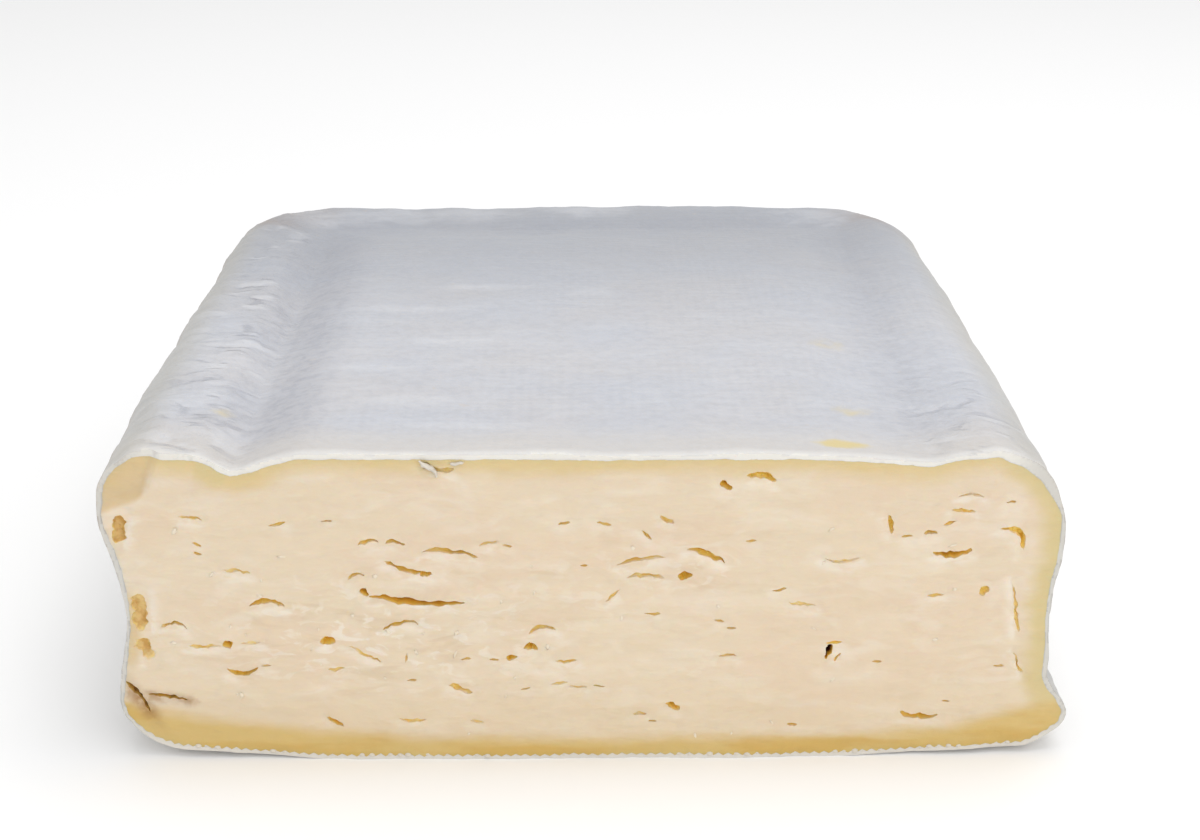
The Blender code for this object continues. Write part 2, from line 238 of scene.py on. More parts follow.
def cheese_points(points):
    """Where points of the plain box end up on the whole cheese."""
    x, y, out_x, out_y, start = plan_place(points[:, 0], points[:, 1])
    shoulder = SHOULDER_RADIUS + SHOULDER_LEAN * out_x
    foot = FOOT_RADIUS + FOOT_RADIUS_LEAN * out_x
    upper = points[:, 2] > HEIGHT / 2
    high_inset, up = rounded(start, points[:, 2] - (HEIGHT - shoulder), shoulder)
    low_inset, down = rounded(start, foot - points[:, 2], foot)
    inset = np.where(upper, high_inset, low_inset)
    z = np.where(upper, HEIGHT - shoulder + up, foot - down)
    x, y = x - out_x * (inset - start), y - out_y * (inset - start)
    on_wall = bell(inset, CORNER_RADIUS)
    offset = wall_offset(x, y, z, out_x, out_y) * on_wall
    above = smooth((z - HEIGHT / 2) / (HEIGHT / 4))
    z = z - trough_depth(x, y, inset) * above
    lift = (LIFT_HEIGHT + LIFT_LEAN * out_x) * np.maximum(0.0, 1 - inset / LIFT_RANGE)
    z = z + lift * (1 - above) * bell(z, FOOT_RADIUS * 2)
    moved = np.stack([x + out_x * offset, y + out_y * offset, z], 1)
    swell = SWELL_HEIGHT * noise_at(moved / SWELL_LENGTH) * smooth(z / SWELL_FADE)
    outwards = np.stack([out_x * on_wall, out_y * on_wall, above], 1)
    return moved + outwards * swell[:, None]


# %% [markdown]
# ## A box of fine squares
#
# Both pieces start from a closed box whose faces are ruled into squares. The lines can lie
# close together where the shape turns quickly and further apart elsewhere. Making the grid
# with NumPy is much quicker than subdividing a cube, and the squares are known to be
# closed: neighbouring faces of the box share their points.

# %% The ruled box
def add_object(name, data):
    """A new object at the origin, in the scene."""
    obj = bpy.data.objects.new(name, data)
    bpy.context.scene.collection.objects.link(obj)
    return obj


def ruled_box(name, lines):
    """A closed box of squares whose edges run along the given lines of the three axes."""
    counts = [len(line) for line in lines]
    squares = []
    for axis in range(3):
        across, up = (axis + 1) % 3, (axis + 2) % 3
        for end in (0, counts[axis] - 1):
            steps = np.meshgrid(range(counts[across] - 1), range(counts[up] - 1), indexing="ij")
            corners = []
            for step_across, step_up in ((0, 0), (1, 0), (1, 1), (0, 1)):
                index = [None, None, None]
                index[axis] = np.full(steps[0].shape, end)
                index[across] = steps[0] + step_across
                index[up] = steps[1] + step_up
                corners.append(np.ravel_multi_index(index, counts).ravel())
            face = np.stack(corners, 1)
            squares.append(face if end else face[:, ::-1])
    used, squares = np.unique(np.concatenate(squares), return_inverse=True)
    places = np.unravel_index(used, counts)
    points = np.stack([np.asarray(line)[place] for line, place in zip(lines, places)], 1)
    mesh = bpy.data.meshes.new(name)
    mesh.from_pydata(points.tolist(), [], squares.reshape(-1, 4).tolist())
    return add_object(name, mesh)


def points_of(obj):
    """The object's points as an array."""
    places = np.empty(len(obj.data.vertices) * 3)
    obj.data.vertices.foreach_get("co", places)
    return places.reshape(-1, 3)


def set_points(obj, points):
    """Moves the object's points to the rows of an array."""
    obj.data.vertices.foreach_set("co", points.ravel())
    obj.data.update()


def evenly(start, end, step):
    """Lines from start to end, evenly spaced and near the step."""
    return np.linspace(start, end, max(2, round((end - start) / step) + 1))


# %% [markdown]
# ## One way to add any node
#
# Shader and geometry trees are wired by hand in the node editor. In a script, a long list
# of `new` and `link` calls hides what is going on. `Sheet` adds any node with one call:
# its type, its settings, then what feeds its sockets. `Wire` stands for a socket and knows
# plain arithmetic, so a mask can be written as `1 - worn * 0.5`. `Recipe` is the sheet of a
# Geometry Nodes tree: it starts from named sizes and knows how such a tree ends.

# %% Sheet and Wire
class Wire:
    """A socket of a node tree, with the arithmetic that masks need."""

    def __init__(self, sheet, socket):
        self.sheet, self.socket = sheet, socket

    def _maths(self, operation, first, second):
        settings = {"operation": operation}
        return self.sheet.node("ShaderNodeMath", settings, {0: first, 1: second})

    def __add__(self, other):
        return self._maths("ADD", self, other)

    def __sub__(self, other):
        return self._maths("SUBTRACT", self, other)

    def __mul__(self, other):
        return self._maths("MULTIPLY", self, other)

    def __rsub__(self, other):
        return self._maths("SUBTRACT", other, self)

    def __truediv__(self, other):
        return self._maths("DIVIDE", self, other)

    def __rtruediv__(self, other):
        return self._maths("DIVIDE", other, self)

    __radd__, __rmul__ = __add__, __mul__


class Sheet:
    """A node tree with one way to add a node."""

    def __init__(self, tree):
        self.tree = tree

    def node(self, kind, settings=None, inputs=None, output=0):
        """A node with its settings, then its inputs, as a wire from one of its outputs."""
        node = self.tree.nodes.new(kind)
        for name, value in (settings or {}).items():
            setattr(node, name, value)
        for key, value in (inputs or {}).items():
            self.feed(node.inputs[key], value)
        return Wire(self, node.outputs[output])

    def feed(self, socket, value):
        """A link where the value is a wire, and the socket's own number where it isn't."""
        if isinstance(value, Wire):
            self.tree.links.new(value.socket, socket)
        else:
            socket.default_value = value


# %% Recipe
def bake(obj):
    """Turns the object and its modifiers into a plain mesh."""
    graph = bpy.context.evaluated_depsgraph_get()
    mesh = bpy.data.meshes.new_from_object(obj.evaluated_get(graph))
    obj.modifiers.clear()
    obj.data = mesh
    return obj


class Recipe(Sheet):
    """The sheet of a geometry tree, with a named input for each size."""

    def __init__(self, name, sizes):
        super().__init__(bpy.data.node_groups.new(name, "GeometryNodeTree"))
        self.sizes = sizes
        face = self.tree.interface
        face.new_socket("Geometry", in_out="INPUT", socket_type="NodeSocketGeometry")
        for size in sizes:
            face.new_socket(size, in_out="INPUT", socket_type="NodeSocketFloat")
        face.new_socket("Geometry", in_out="OUTPUT", socket_type="NodeSocketGeometry")
        group = self.tree.nodes.new("NodeGroupInput")
        self.geometry = Wire(self, group.outputs["Geometry"])
        self.size = {size: Wire(self, group.outputs[size]) for size in sizes}

    def random(self, low, high, seed):
        """A number or a vector between low and high, another one for each point."""
        kind, first, output = ("FLOAT_VECTOR", 0, 0) if isinstance(low, tuple) else ("FLOAT", 2, 1)
        inputs = {first: low, first + 1: high, "Seed": seed}
        return self.node("FunctionNodeRandomValue", {"data_type": kind}, inputs, output)

    def end(self, geometry):
        """The end of the tree."""
        self.feed(self.tree.nodes.new("NodeGroupOutput").inputs["Geometry"], geometry)

    def end_as_mesh(self, instances, material):
        """The end of a tree of instances: real faces, shaded smooth, with their material."""
        real = self.node("GeometryNodeRealizeInstances", None, {0: instances})
        soft = self.node("GeometryNodeSetShadeSmooth", None, {0: real})
        dressed = {"Geometry": soft, "Material": material}
        self.end(self.node("GeometryNodeSetMaterial", None, dressed))

    def apply_to(self, obj):
        """Runs the tree on the object and leaves a plain mesh."""
        modifier = obj.modifiers.new(self.tree.name, "NODES")
        modifier.node_group = self.tree
        for item in self.tree.interface.items_tree:
            if item.in_out == "INPUT" and item.name in self.sizes:
                modifier[item.identifier] = self.sizes[item.name]
        return bake(obj)


# %% [markdown]
# ## The rind's form and its relief
#
# The mould that makes a bloomy rind leaves a skin with its own relief: slow dents, fine
# wrinkles where it dried over the rim, and crossed marks from the draining mat. The
# wrinkles could be sculpted, or painted into a bump map. Here a small Geometry Nodes tree
# moves every point along its normal, so each kind of relief is one named number, and the
# edge of the skin shows it too.

# %% Relief of the rind, as Geometry Nodes
RELIEF = {
    "Dent Length": 11 * MM,
    "Dent Height": 0.42 * MM,
    "Wrinkle Length": 8.0 * MM,
    "Wrinkle Height": 1.0 * MM,
    "Grain Length": 2.2 * MM,
    "Grain Height": 0.16 * MM,
}
EVEN = (1, 1, 1)


def relief(sheet, kind, stretch, detail, distortion=0.0):
    """Noise about zero whose features have the kind's length, times its height."""
    place = sheet.node("GeometryNodeInputPosition")
    scaled = sheet.node("ShaderNodeVectorMath", {"operation": "MULTIPLY"}, {0: place, 1: stretch})
    scale = 1 / sheet.size[kind + " Length"]
    inputs = {"Vector": scaled, "Scale": scale, "Detail": detail, "Distortion": distortion}
    noise_node = sheet.node("ShaderNodeTexNoise", {"noise_dimensions": "3D"}, inputs)
    return (noise_node - 0.5) * 2 * sheet.size[kind + " Height"]


def relief_recipe():
    """Moves every point along its normal by dents, wrinkles and grain."""
    sheet = Recipe("rind relief", RELIEF)
    number = {"data_type": "FLOAT"}
    wrinkled = sheet.node("GeometryNodeInputNamedAttribute", number, {"Name": "wrinkled"})
    skin = sheet.node("GeometryNodeInputNamedAttribute", number, {"Name": "skin"})
    dents = relief(sheet, "Dent", EVEN, 1.0) * (1 + wrinkled * 2.2)
    wrinkles = relief(sheet, "Wrinkle", (0.55, 1.5, 1.0), 2.0, 1.2) * wrinkled
    height = (dents + wrinkles + relief(sheet, "Grain", EVEN, 2.0)) * skin
    push = {0: sheet.node("GeometryNodeInputNormal"), "Scale": height}
    offset = sheet.node("ShaderNodeVectorMath", {"operation": "SCALE"}, push)
    moved = {"Geometry": sheet.geometry, "Offset": offset}
    sheet.end(sheet.node("GeometryNodeSetPosition", None, moved))
    return sheet


skin_relief = relief_recipe()
print("relief nodes:", len(skin_relief.tree.nodes))

# %% The whole cheese, before the cut
SKIN_STEP = 1.15 * MM


def whole_cheese(name, lines_across, lines_along, lines_up):
    """The closed form of the whole cheese, longer than the piece by what the knife takes."""
    obj = ruled_box(name, [lines_across, lines_along, lines_up])
    set_points(obj, cheese_points(points_of(obj)))
    return obj


def set_attribute(obj, name, values):
    """One number for each point of the object."""
    attribute = obj.data.attributes.new(name, "FLOAT", "POINT")
    attribute.data.foreach_set("value", np.asarray(values, dtype=np.float32))


skin_form = whole_cheese(
    "rind",
    evenly(-WIDTH / 2, WIDTH / 2, SKIN_STEP),
    evenly(FRONT - OVERCUT, DEPTH / 2, SKIN_STEP),
    evenly(0, HEIGHT, SKIN_STEP),
)
at = points_of(skin_form)
left_rim = near(at[:, 0], -67, 15) * rise(at[:, 2], 30, 12)
right_front = near(at[:, 0], 66, 16) * near(at[:, 1] - FRONT, 0, 60)
set_attribute(skin_form, "wrinkled", np.clip(left_rim + 0.8 * right_front, 0.12, 1))
set_attribute(skin_form, "skin", rise(at[:, 2], 0.5, 3))
skin_relief.apply_to(skin_form)
print("rind form:", len(skin_form.data.polygons), "squares")

# %% [markdown]
# ## The hollow that holds the paste
#
# The paste fills the rind. Its form is the whole cheese again, drawn in along its normals
# by the thickness of the rind: thicker over the right shoulder, thin under the foot, and
# never quite even, which gives the soft ragged line between white and yellow on the cut.

# %% The paste's form
RIND_TOP, RIND_WALL, RIND_FOOT, RIND_SHOULDER = 0.9 * MM, 0.75 * MM, 0.75 * MM, 0.8 * MM
RAGGED_HEIGHT, RAGGED_LENGTH, RIND_LEAST = 0.3 * MM, 3.2 * MM, 0.3 * MM
MAT_PITCH, MAT_PRESS = 1.6 * MM, 0.22 * MM
CORE_STEP, CORE_STEP_ALONG = 0.8 * MM, 4 * MM


def normals_of(obj):
    """The way out of the surface at each point of the object."""
    facing = np.empty(len(obj.data.vertices) * 3)
    obj.data.vertex_normals.foreach_get("vector", facing)
    return facing.reshape(-1, 3)


def rind_thickness(points, facing):
    """How thick the rind is over these points of the form."""
    top, foot = np.maximum(facing[:, 2], 0) ** 2, np.maximum(-facing[:, 2], 0) ** 2
    wall = 1 - top - foot
    thickness = RIND_TOP * top + RIND_FOOT * foot + RIND_WALL * wall
    right_shoulder = near(points[:, 0], 70, 12) * near(points[:, 2], 50, 12)
    thickness += RIND_SHOULDER * right_shoulder
    thickness += RAGGED_HEIGHT * noise_at(points / RAGGED_LENGTH, 3) * (1 - 0.5 * foot)
    thickness += MAT_PRESS * foot * np.cos(points[:, 0] * (2 * math.pi / MAT_PITCH))
    return np.maximum(thickness, RIND_LEAST)


core_form = whole_cheese(
    "paste",
    evenly(-WIDTH / 2, WIDTH / 2, CORE_STEP),
    np.append(FRONT - OVERCUT, evenly(FRONT - 2 * MM, DEPTH / 2, CORE_STEP_ALONG)),
    evenly(0, HEIGHT, CORE_STEP),
)
outer_points, outer_facing = points_of(core_form), normals_of(core_form)
inner_points = outer_points - outer_facing * rind_thickness(outer_points, outer_facing)[:, None]
set_points(core_form, inner_points)
hollow = add_object("hollow", core_form.data.copy())
print("paste form:", len(core_form.data.polygons), "squares")

# %% [markdown]
# ## The openings of the curd
#
# Curd that never closed leaves slits, arches and round holes. The solid has the larger
# ones, and they are repeated here in the same places with finer meshes: centre across and
# up, length, gape, depth, tilt in degrees and arch, in millimetres on the cut. `INNER_SHADES`
# says how much painted shade each gets inside: most stay honey or ochre, the curd's own
# colour, and one is painted nearly black. Light gets into the pale ones, so their floor is
# brought nearer to the cut than the solid's.
#
# `MARKS` are the finer ones, which only a close look shows: centre across and up, length
# and tilt. They are too small for the solid, so they are cut into the paste alone.

# %% Tables of the openings
OPENINGS = {
    "long_crack": (-26.7, 29.5, 15.6, 1.3, 5.0, -4, -0.5),
    "long_crack_knot": (-35.0, 30.7, 1.8, 1.5, 3.4, -50, 0.0),
    "small_arch": (-36.3, 33.2, 3.0, 0.9, 2.2, 20, 0.8),
    "arched_crack": (-21.2, 37.4, 9.2, 1.1, 4.0, -5, 0.8),
    "stepped_crack": (-27.9, 35.2, 8.2, 1.0, 4.0, -18, -0.5),
    "stepped_crack_knot": (-25.1, 34.0, 2.0, 1.3, 3.4, 15, 0.0),
    "crack_above_left": (-34.1, 39.3, 3.4, 0.9, 2.6, 6, 0.4),
    "crack_above": (-29.8, 39.2, 3.2, 1.0, 2.8, 0, 0.5),
    "short_arch": (-29.4, 24.3, 6.0, 1.1, 3.2, 8, 1.0),
    "low_left_arch": (-50.9, 27.9, 5.8, 1.1, 3.2, 0, 1.1),
    "far_left_arch": (-66.3, 24.0, 4.4, 0.9, 2.6, 0, 0.9),
    "left_hole": (-57.6, 21.2, 1.9, 1.6, 3.2, 25, 0.0),
    "left_hook": (-55.6, 16.5, 5.2, 1.2, 3.4, 4, -0.9),
    "mid_left_hole": (-41.4, 21.7, 2.6, 1.6, 3.4, -5, 0.4),
    "low_slit": (-40.9, 6.9, 3.2, 0.9, 2.4, -28, 0.0),
    "middle_arch": (-6.6, 23.6, 4.6, 1.0, 3.0, 8, 0.8),
    "middle_hole": (-8.5, 20.4, 2.4, 1.4, 3.2, 0, 0.3),
    "middle_pit": (-11.6, 18.8, 1.9, 1.2, 2.6, 10, 0.0),
    "low_middle_slit": (-20.0, 13.3, 4.2, 1.1, 2.6, -20, 0.0),
    "top_hole": (22.6, 49.3, 2.2, 1.9, 3.6, -35, 0.0),
    "top_arch": (28.2, 50.2, 5.0, 1.2, 3.4, -14, 0.7),
    "upper_slit": (13.4, 43.5, 2.6, 0.9, 2.2, -32, 0.0),
    "fine_crack": (9.2, 36.1, 8.0, 0.8, 2.6, 12, 0.4),
    "long_slope": (19.7, 37.0, 6.6, 1.1, 3.6, -20, 0.4),
    "fine_arch": (10.3, 33.2, 6.6, 0.9, 2.6, -4, 0.4),
    "dark_hole": (16.4, 33.5, 2.4, 1.5, 3.6, 0, 0.0),
    "low_hole": (14.7, 9.9, 2.7, 1.5, 3.4, -26, 0.0),
    "upright_crack": (49.0, 42.1, 3.4, 1.0, 3.0, -76, 0.0),
    "right_crack": (59.2, 37.4, 6.4, 1.4, 4.6, 2, -0.7),
    "right_dimple": (55.5, 40.5, 2.2, 1.2, 2.4, 0, 0.3),
    "right_pocket": (68.6, 39.2, 5.4, 1.5, 2.4, -48, 1.5),
    "right_chip": (64.8, 30.0, 2.0, 1.6, 2.6, 60, 0.0),
    "right_upper_slit": (61.6, 46.7, 4.2, 0.8, 2.0, 0, 0.3),
    "black_hole": (40.0, 19.6, 2.8, 1.5, 4.2, 68, 0.0),
    "low_right_crack": (55.5, 7.6, 6.4, 1.4, 3.8, -8, -0.5),
    "wide_v": (41.5, 36.6, 6.4, 0.8, 1.8, 0, -0.8),
    "edge_gap_upper": (-73.8, 41.6, 5.0, 3.2, 1.8, 74, 0.0),
    "edge_gap_middle": (-71.7, 26.6, 7.0, 4.0, 1.7, 88, 0.0),
    "edge_gap_lower": (-71.5, 19.9, 4.8, 3.2, 1.5, -62, 0.5),
    "edge_fold": (-73.3, 11.3, 7.0, 0.9, 1.8, -58, 0.6),
    "edge_branch": (-68.3, 11.1, 6.6, 0.8, 1.5, -9, 0.4),
    "rind_nick": (-22.8, 52.8, 5.6, 1.4, 3.0, -12, -0.8),
}
# How much painted shade darkens the inside of each opening: low values stay honey or ochre, high
# ones go brown and nearly black.
INNER_SHADES = {
    "black_hole": 1.8, "long_crack": 0.72, "long_crack_knot": 0.7, "left_hole": 0.62,
    "stepped_crack_knot": 0.5, "left_hook": 0.52, "mid_left_hole": 0.5, "middle_hole": 0.62,
    "middle_pit": 0.8, "dark_hole": 0.62, "low_hole": 0.62, "right_crack": 0.5,
    "right_pocket": 0.62, "top_hole": 0.42, "short_arch": 0.34, "low_right_crack": 0.5,
    "low_slit": 0.6, "edge_fold": 1.7, "edge_branch": 1.4, "edge_gap_upper": 0.95,
    "edge_gap_middle": 0.85, "edge_gap_lower": 0.6, "arched_crack": 0.26, "rind_nick": 0.0,
    "fine_crack": 0.12, "fine_arch": 0.16, "wide_v": 0.1, "right_upper_slit": 0.1,
    "stepped_crack": 0.28, "small_arch": 0.24, "crack_above_left": 0.24, "crack_above": 0.26,
    "low_left_arch": 0.32, "far_left_arch": 0.26, "middle_arch": 0.3, "top_arch": 0.34,
    "upper_slit": 0.16, "long_slope": 0.32, "low_middle_slit": 0.26, "right_dimple": 0.2,
    "right_chip": 0.24, "upright_crack": 0.34,
}

# %% The finer marks
# The fine marks all get the same painted shade inside.
MARK_SHIFT, MARK_SHADE, MARK_DEPTH = 1.1, 0.5, 0.7
MARK_GAPE, MARK_GAPE_GROWTH, MARK_WIDEST = 0.36, 0.07, 0.62
LIT_SHARE, DARK_SHARE, GAPE_SHARE = 0.32, 0.45, 0.84
MARKS = (
    (-49.6, 42.6, 3.0, 10), (-41.7, 43.1, 2.0, 5), (-62.5, 37.4, 1.4, -20), (-62.5, 39.0, 1.6, -20),
    (-63.3, 43.7, 4.0, -5), (-56.8, 34.2, 5.0, -4), (-16.0, 39.4, 3.4, 15), (-13.1, 39.1, 1.6, 0),
    (-4.0, 42.9, 2.0, 15), (-0.9, 35.5, 1.2, 0), (-10.5, 13.2, 1.6, 20), (-2.1, 13.3, 3.4, 0),
    (-18.6, 6.9, 2.4, -10), (-29.3, 7.5, 5.0, -4), (-41.4, 16.7, 3.0, 6), (-29.9, 18.9, 2.4, 80),
    (-20.2, 18.4, 1.8, 10), (-15.6, 18.4, 1.6, 0), (-3.9, 18.5, 4.0, 0), (-29.1, 14.6, 1.6, 0),
    (9.1, 40.7, 2.2, -40), (2.3, 42.8, 2.4, -10), (3.8, 30.1, 3.4, 45), (22.4, 18.9, 3.0, 0),
    (20.9, 25.5, 1.6, -10), (22.9, 24.2, 1.6, 0), (10.1, 26.8, 2.6, 0), (46.9, 17.5, 1.6, 0),
    (67.0, 16.3, 1.8, 0), (55.9, 29.5, 3.0, 0), (58.7, 10.0, 1.4, 0), (33.4, 6.0, 1.7, 0),
    (8.1, 8.4, 2.4, 0), (10.3, 7.1, 1.4, 0), (1.5, 13.7, 2.0, 0), (50.6, 40.0, 1.8, 0),
    (57.4, 42.2, 2.2, 15), (59.4, 44.3, 4.0, -5), (66.9, 45.7, 1.6, 0), (30.5, 30.9, 2.4, 5),
    (34.3, 28.1, 5.0, -6), (25.7, 39.4, 1.8, 0), (39.7, 21.2, 2.6, 5), (40.3, 18.6, 2.0, 60),
    (-37.0, 19.8, 7.0, -26), (-5.0, 14.1, 3.0, 10), (-62.6, 20.9, 6.0, 2), (-54.9, 21.6, 3.6, 5),
    (-52.9, 17.1, 1.8, 4), (69.1, 26.9, 10.0, -82), (70.4, 16.6, 5.4, -66),
)
every_opening = []
for name, (across, up, length, gape, depth, tilt, arch) in OPENINGS.items():
    inner_shade = INNER_SHADES[name]
    lit_depth = depth * (LIT_SHARE + DARK_SHARE * inner_shade)
    every_opening.append((across, up, length, gape * GAPE_SHARE, lit_depth, tilt, arch, inner_shade))
for across, up, length, tilt in MARKS:
    gape = min(MARK_WIDEST, MARK_GAPE + MARK_GAPE_GROWTH * length)
    mark = (across + MARK_SHIFT, up, length, gape, MARK_DEPTH, tilt, 0.0, MARK_SHADE)
    every_opening.append(mark)
print("openings:", len(OPENINGS), "large and", len(MARKS), "fine")

# %% [markdown]
# ## The knife
#
# The blade doesn't leave a plane. It bows, drags level smears across the paste, and the
# soft curd sinks a little round every opening. The knife is a block of space whose back
# face carries all that. Subtracting one block from the rind and from the paste cuts both
# along the same face.

# %% The face that the knife leaves
CUT_BOW = 1.6 * MM
CHIP_DEPTH, CHIP_WIDTH, CHIP_BOTTOM, CHIP_SLOPE = 1.4 * MM, 8.5 * MM, 44 * MM, 2.5 * MM
CHIP_SLANT, CHIP_MIDDLE = 0.35, 49 * MM
SMEAR_DEPTH, SMEAR_LENGTH, SMEAR_HEIGHT, SMEAR_PLACE = 0.5 * MM, 16 * MM, 5 * MM, 3.7
CURD_DEPTH, CURD_LENGTH, CURD_HEIGHT = 0.22 * MM, 3.4 * MM, 1.5 * MM
GRAIN_DEPTH, GRAIN_LENGTH = 0.05 * MM, 0.9 * MM
LIP_DEPTH, LIP_REACH = 0.22 * MM, 1.1 * MM
CRUMBLE_DEPTH, CRUMBLE_LENGTH, CRUMBLE_HEIGHT = 0.5 * MM, 6.5 * MM, 2.6 * MM


def opening_frame(x, z, across, up, length, tilt, arch):
    """Places on the cut, seen from an opening: along it, across it, and off its ends."""
    turn = math.radians(tilt)
    dx, dz = x - across * MM, z - up * MM
    along = dx * math.cos(turn) + dz * math.sin(turn)
    share = np.clip(along / (length * MM / 2), -1, 1)
    off = dz * math.cos(turn) - dx * math.sin(turn) - arch * MM * (1 - share**2)
    beyond = np.maximum(np.abs(along) - length * MM / 2, 0)
    return along, off, beyond


def torn_flake(x, z, lower=0.0):
    """1 inside the flake that tore off the upper left corner, and so far below its ledge."""
    edge = CHIP_WIDTH - WIDTH / 2 - x + CHIP_SLANT * (z - CHIP_MIDDLE)
    ledge = z - CHIP_BOTTOM + lower - CHIP_SLANT * (x + WIDTH / 2)
    return smooth(edge / CHIP_SLOPE) * smooth(ledge / CHIP_SLOPE)


def streaky(x, z, length, height, layer, octaves):
    """Noise over the cut whose features have this length and height."""
    return noise_at(np.stack([x / length, np.full_like(x, layer), z / height], 1), octaves)


def broad_cut(x, z):
    """The cut as the solid has it: bow, level smears and the torn flake."""
    smears = SMEAR_DEPTH * streaky(x, z, SMEAR_LENGTH, SMEAR_HEIGHT, SMEAR_PLACE, 2)
    return CUT_BOW * (2 * x / WIDTH) ** 2 + smears + CHIP_DEPTH * torn_flake(x, z)


def crumbly(x, z):
    """Where the curd tore instead of being cut clean: the left and middle, below mid height."""
    torn = near(x, -32, 46) * near(z, 23, 17)
    return torn + 0.6 * near(x, 12, 26) * near(z, 33, 11)


def fine_cut(x, z):
    """Curd texture, torn curd, and the soft lips of the openings."""
    curd = CURD_DEPTH * streaky(x, z, CURD_LENGTH, CURD_HEIGHT, 1.3, 3)
    torn = CRUMBLE_DEPTH * np.abs(streaky(x, z, CRUMBLE_LENGTH, CRUMBLE_HEIGHT, 4.2, 3))
    grain = GRAIN_DEPTH * streaky(x, z, GRAIN_LENGTH, GRAIN_LENGTH, 7.9, 2)
    sunk = np.zeros_like(x)
    for across, up, length, gape, _, tilt, arch, _ in every_opening:
        _, off, beyond = opening_frame(x, z, across, up, length, tilt, arch)
        away = np.maximum(np.hypot(beyond, off) - gape * MM / 2, 0)
        sunk = np.maximum(sunk, bell(away, LIP_REACH) * min(1.0, length / 4))
    return curd + torn * crumbly(x, z) + grain + LIP_DEPTH * sunk


def one_value(rule, across, up):
    """What a rule for arrays gives at one place of the cut."""
    return float(rule(np.array([across]), np.array([up]))[0])


# %% The knife itself
KNIFE_STEP = 0.45 * MM
reach = WIDTH / 2 + 10 * MM
knife = ruled_box(
    "knife",
    [
        evenly(-reach, reach, KNIFE_STEP),
        np.array([FRONT - 3 * OVERCUT, FRONT]),
        evenly(-4 * MM, HEIGHT + 4 * MM, KNIFE_STEP),
    ],
)
blade = points_of(knife)
back_face = blade[:, 1] > FRONT - OVERCUT
x, z = blade[back_face, 0], blade[back_face, 2]
blade[back_face, 1] += broad_cut(x, z) + fine_cut(x, z)
set_points(knife, blade)
print("knife:", len(knife.data.polygons), "squares")

# %% [markdown]
# ## Cutting
#
# Each opening is a lens: a sphere pressed flat and bent to its arch. Torn curd isn't smooth,
# so the lens wanders, swells and narrows along its length, with ragged lips. The cutters go
# into one collection, and a Boolean modifier takes them all away at once. The Manifold
# solver needs closed meshes and is quick, so it suits these fine ones.

# %% The lenses of the openings
RAGGED_SHARE, RAGGED_DETAIL, FINE_SHARE, FINE_DETAIL = 0.35, 1.4, 0.3, 4.2
WANDER_SHARE, WANDER_LENGTH, JAG_SHARE, JAG_LENGTH = 0.3, 2.5, 0.28, 0.75
NARROW_SHARE, NARROW_LENGTH = 0.75, 1.3


def make_opening(name, collection, across, up, length, gape, depth, tilt, arch):
    """A lens-shaped cutter set on the cut face, torn along its length. Sizes in mm."""
    bm = bmesh.new()
    along = 12 if length < 2 else 20 if length < 4 else 40
    around = 10 if length < 2 else 16
    bmesh.ops.create_uvsphere(bm, u_segments=around, v_segments=along, radius=1)
    for vert in bm.verts:
        spot = vert.co * RAGGED_DETAIL + Vector((across, up, 0))
        ragged = 1 + RAGGED_SHARE * noise.noise(spot) + FINE_SHARE * noise.noise(spot * FINE_DETAIL)
        x = vert.co.z * length / 2
        wander = WANDER_SHARE * noise.noise(Vector((x / WANDER_LENGTH, across, up)))
        wander += JAG_SHARE * noise.noise(Vector((x / JAG_LENGTH, across, up)))
        narrow = 1 + NARROW_SHARE * noise.noise(Vector((x / NARROW_LENGTH, up, across)))
        bend = arch * (1 - vert.co.z**2) + wander * min(1.0, length / 4)
        vert.co = (x, vert.co.x * depth * ragged, vert.co.y * gape / 2 * ragged * narrow + bend)
    set_back = one_value(broad_cut, across * MM, up * MM)
    turn = Matrix.Rotation(-math.radians(tilt), 4, "Y")
    bm.transform(turn @ Matrix.Scale(MM, 4))
    bm.transform(Matrix.Translation((across * MM, FRONT + set_back, up * MM)))
    mesh = bpy.data.meshes.new(name)
    bm.to_mesh(mesh)
    bm.free()
    obj = bpy.data.objects.new(name, mesh)
    collection.objects.link(obj)
    return obj


cutters = bpy.data.collections.new("cutters")
bpy.context.scene.collection.children.link(cutters)
for number, (*sizes, _) in enumerate(every_opening):
    make_opening(f"opening {number}", cutters, *sizes)

# %% Take the knife, the hollow and the openings away
def take_away(obj, cutter):
    """A Boolean difference with one object or with a whole collection."""
    modifier = obj.modifiers.new("cut", "BOOLEAN")
    modifier.operation, modifier.solver = "DIFFERENCE", "MANIFOLD"
    if isinstance(cutter, bpy.types.Collection):
        modifier.operand_type, modifier.collection = "COLLECTION", cutter
    else:
        modifier.object = cutter


take_away(skin_form, hollow)
take_away(skin_form, knife)
take_away(core_form, knife)
take_away(core_form, cutters)
rind, paste = bake(skin_form), bake(core_form)
for obj in [hollow, knife, *cutters.objects]:
    bpy.data.objects.remove(obj, do_unlink=True)
bpy.data.collections.remove(cutters)
for piece in (rind, paste):
    triangles = sum(len(face.vertices) - 2 for face in piece.data.polygons)
    print(piece.name, "has", triangles, "triangles")

# %% [markdown]
# ## Setting the pieces on the frame
#
# The rules above put the middle of the whole cheese at zero, and the solid's zero lies
# under the middle of the cut block. One shift brings both pieces onto the solid. Then the
# faces are shaded smooth, with sharp edges only where two surfaces really meet, such as
# the edge of the cut and the lips of the cracks.

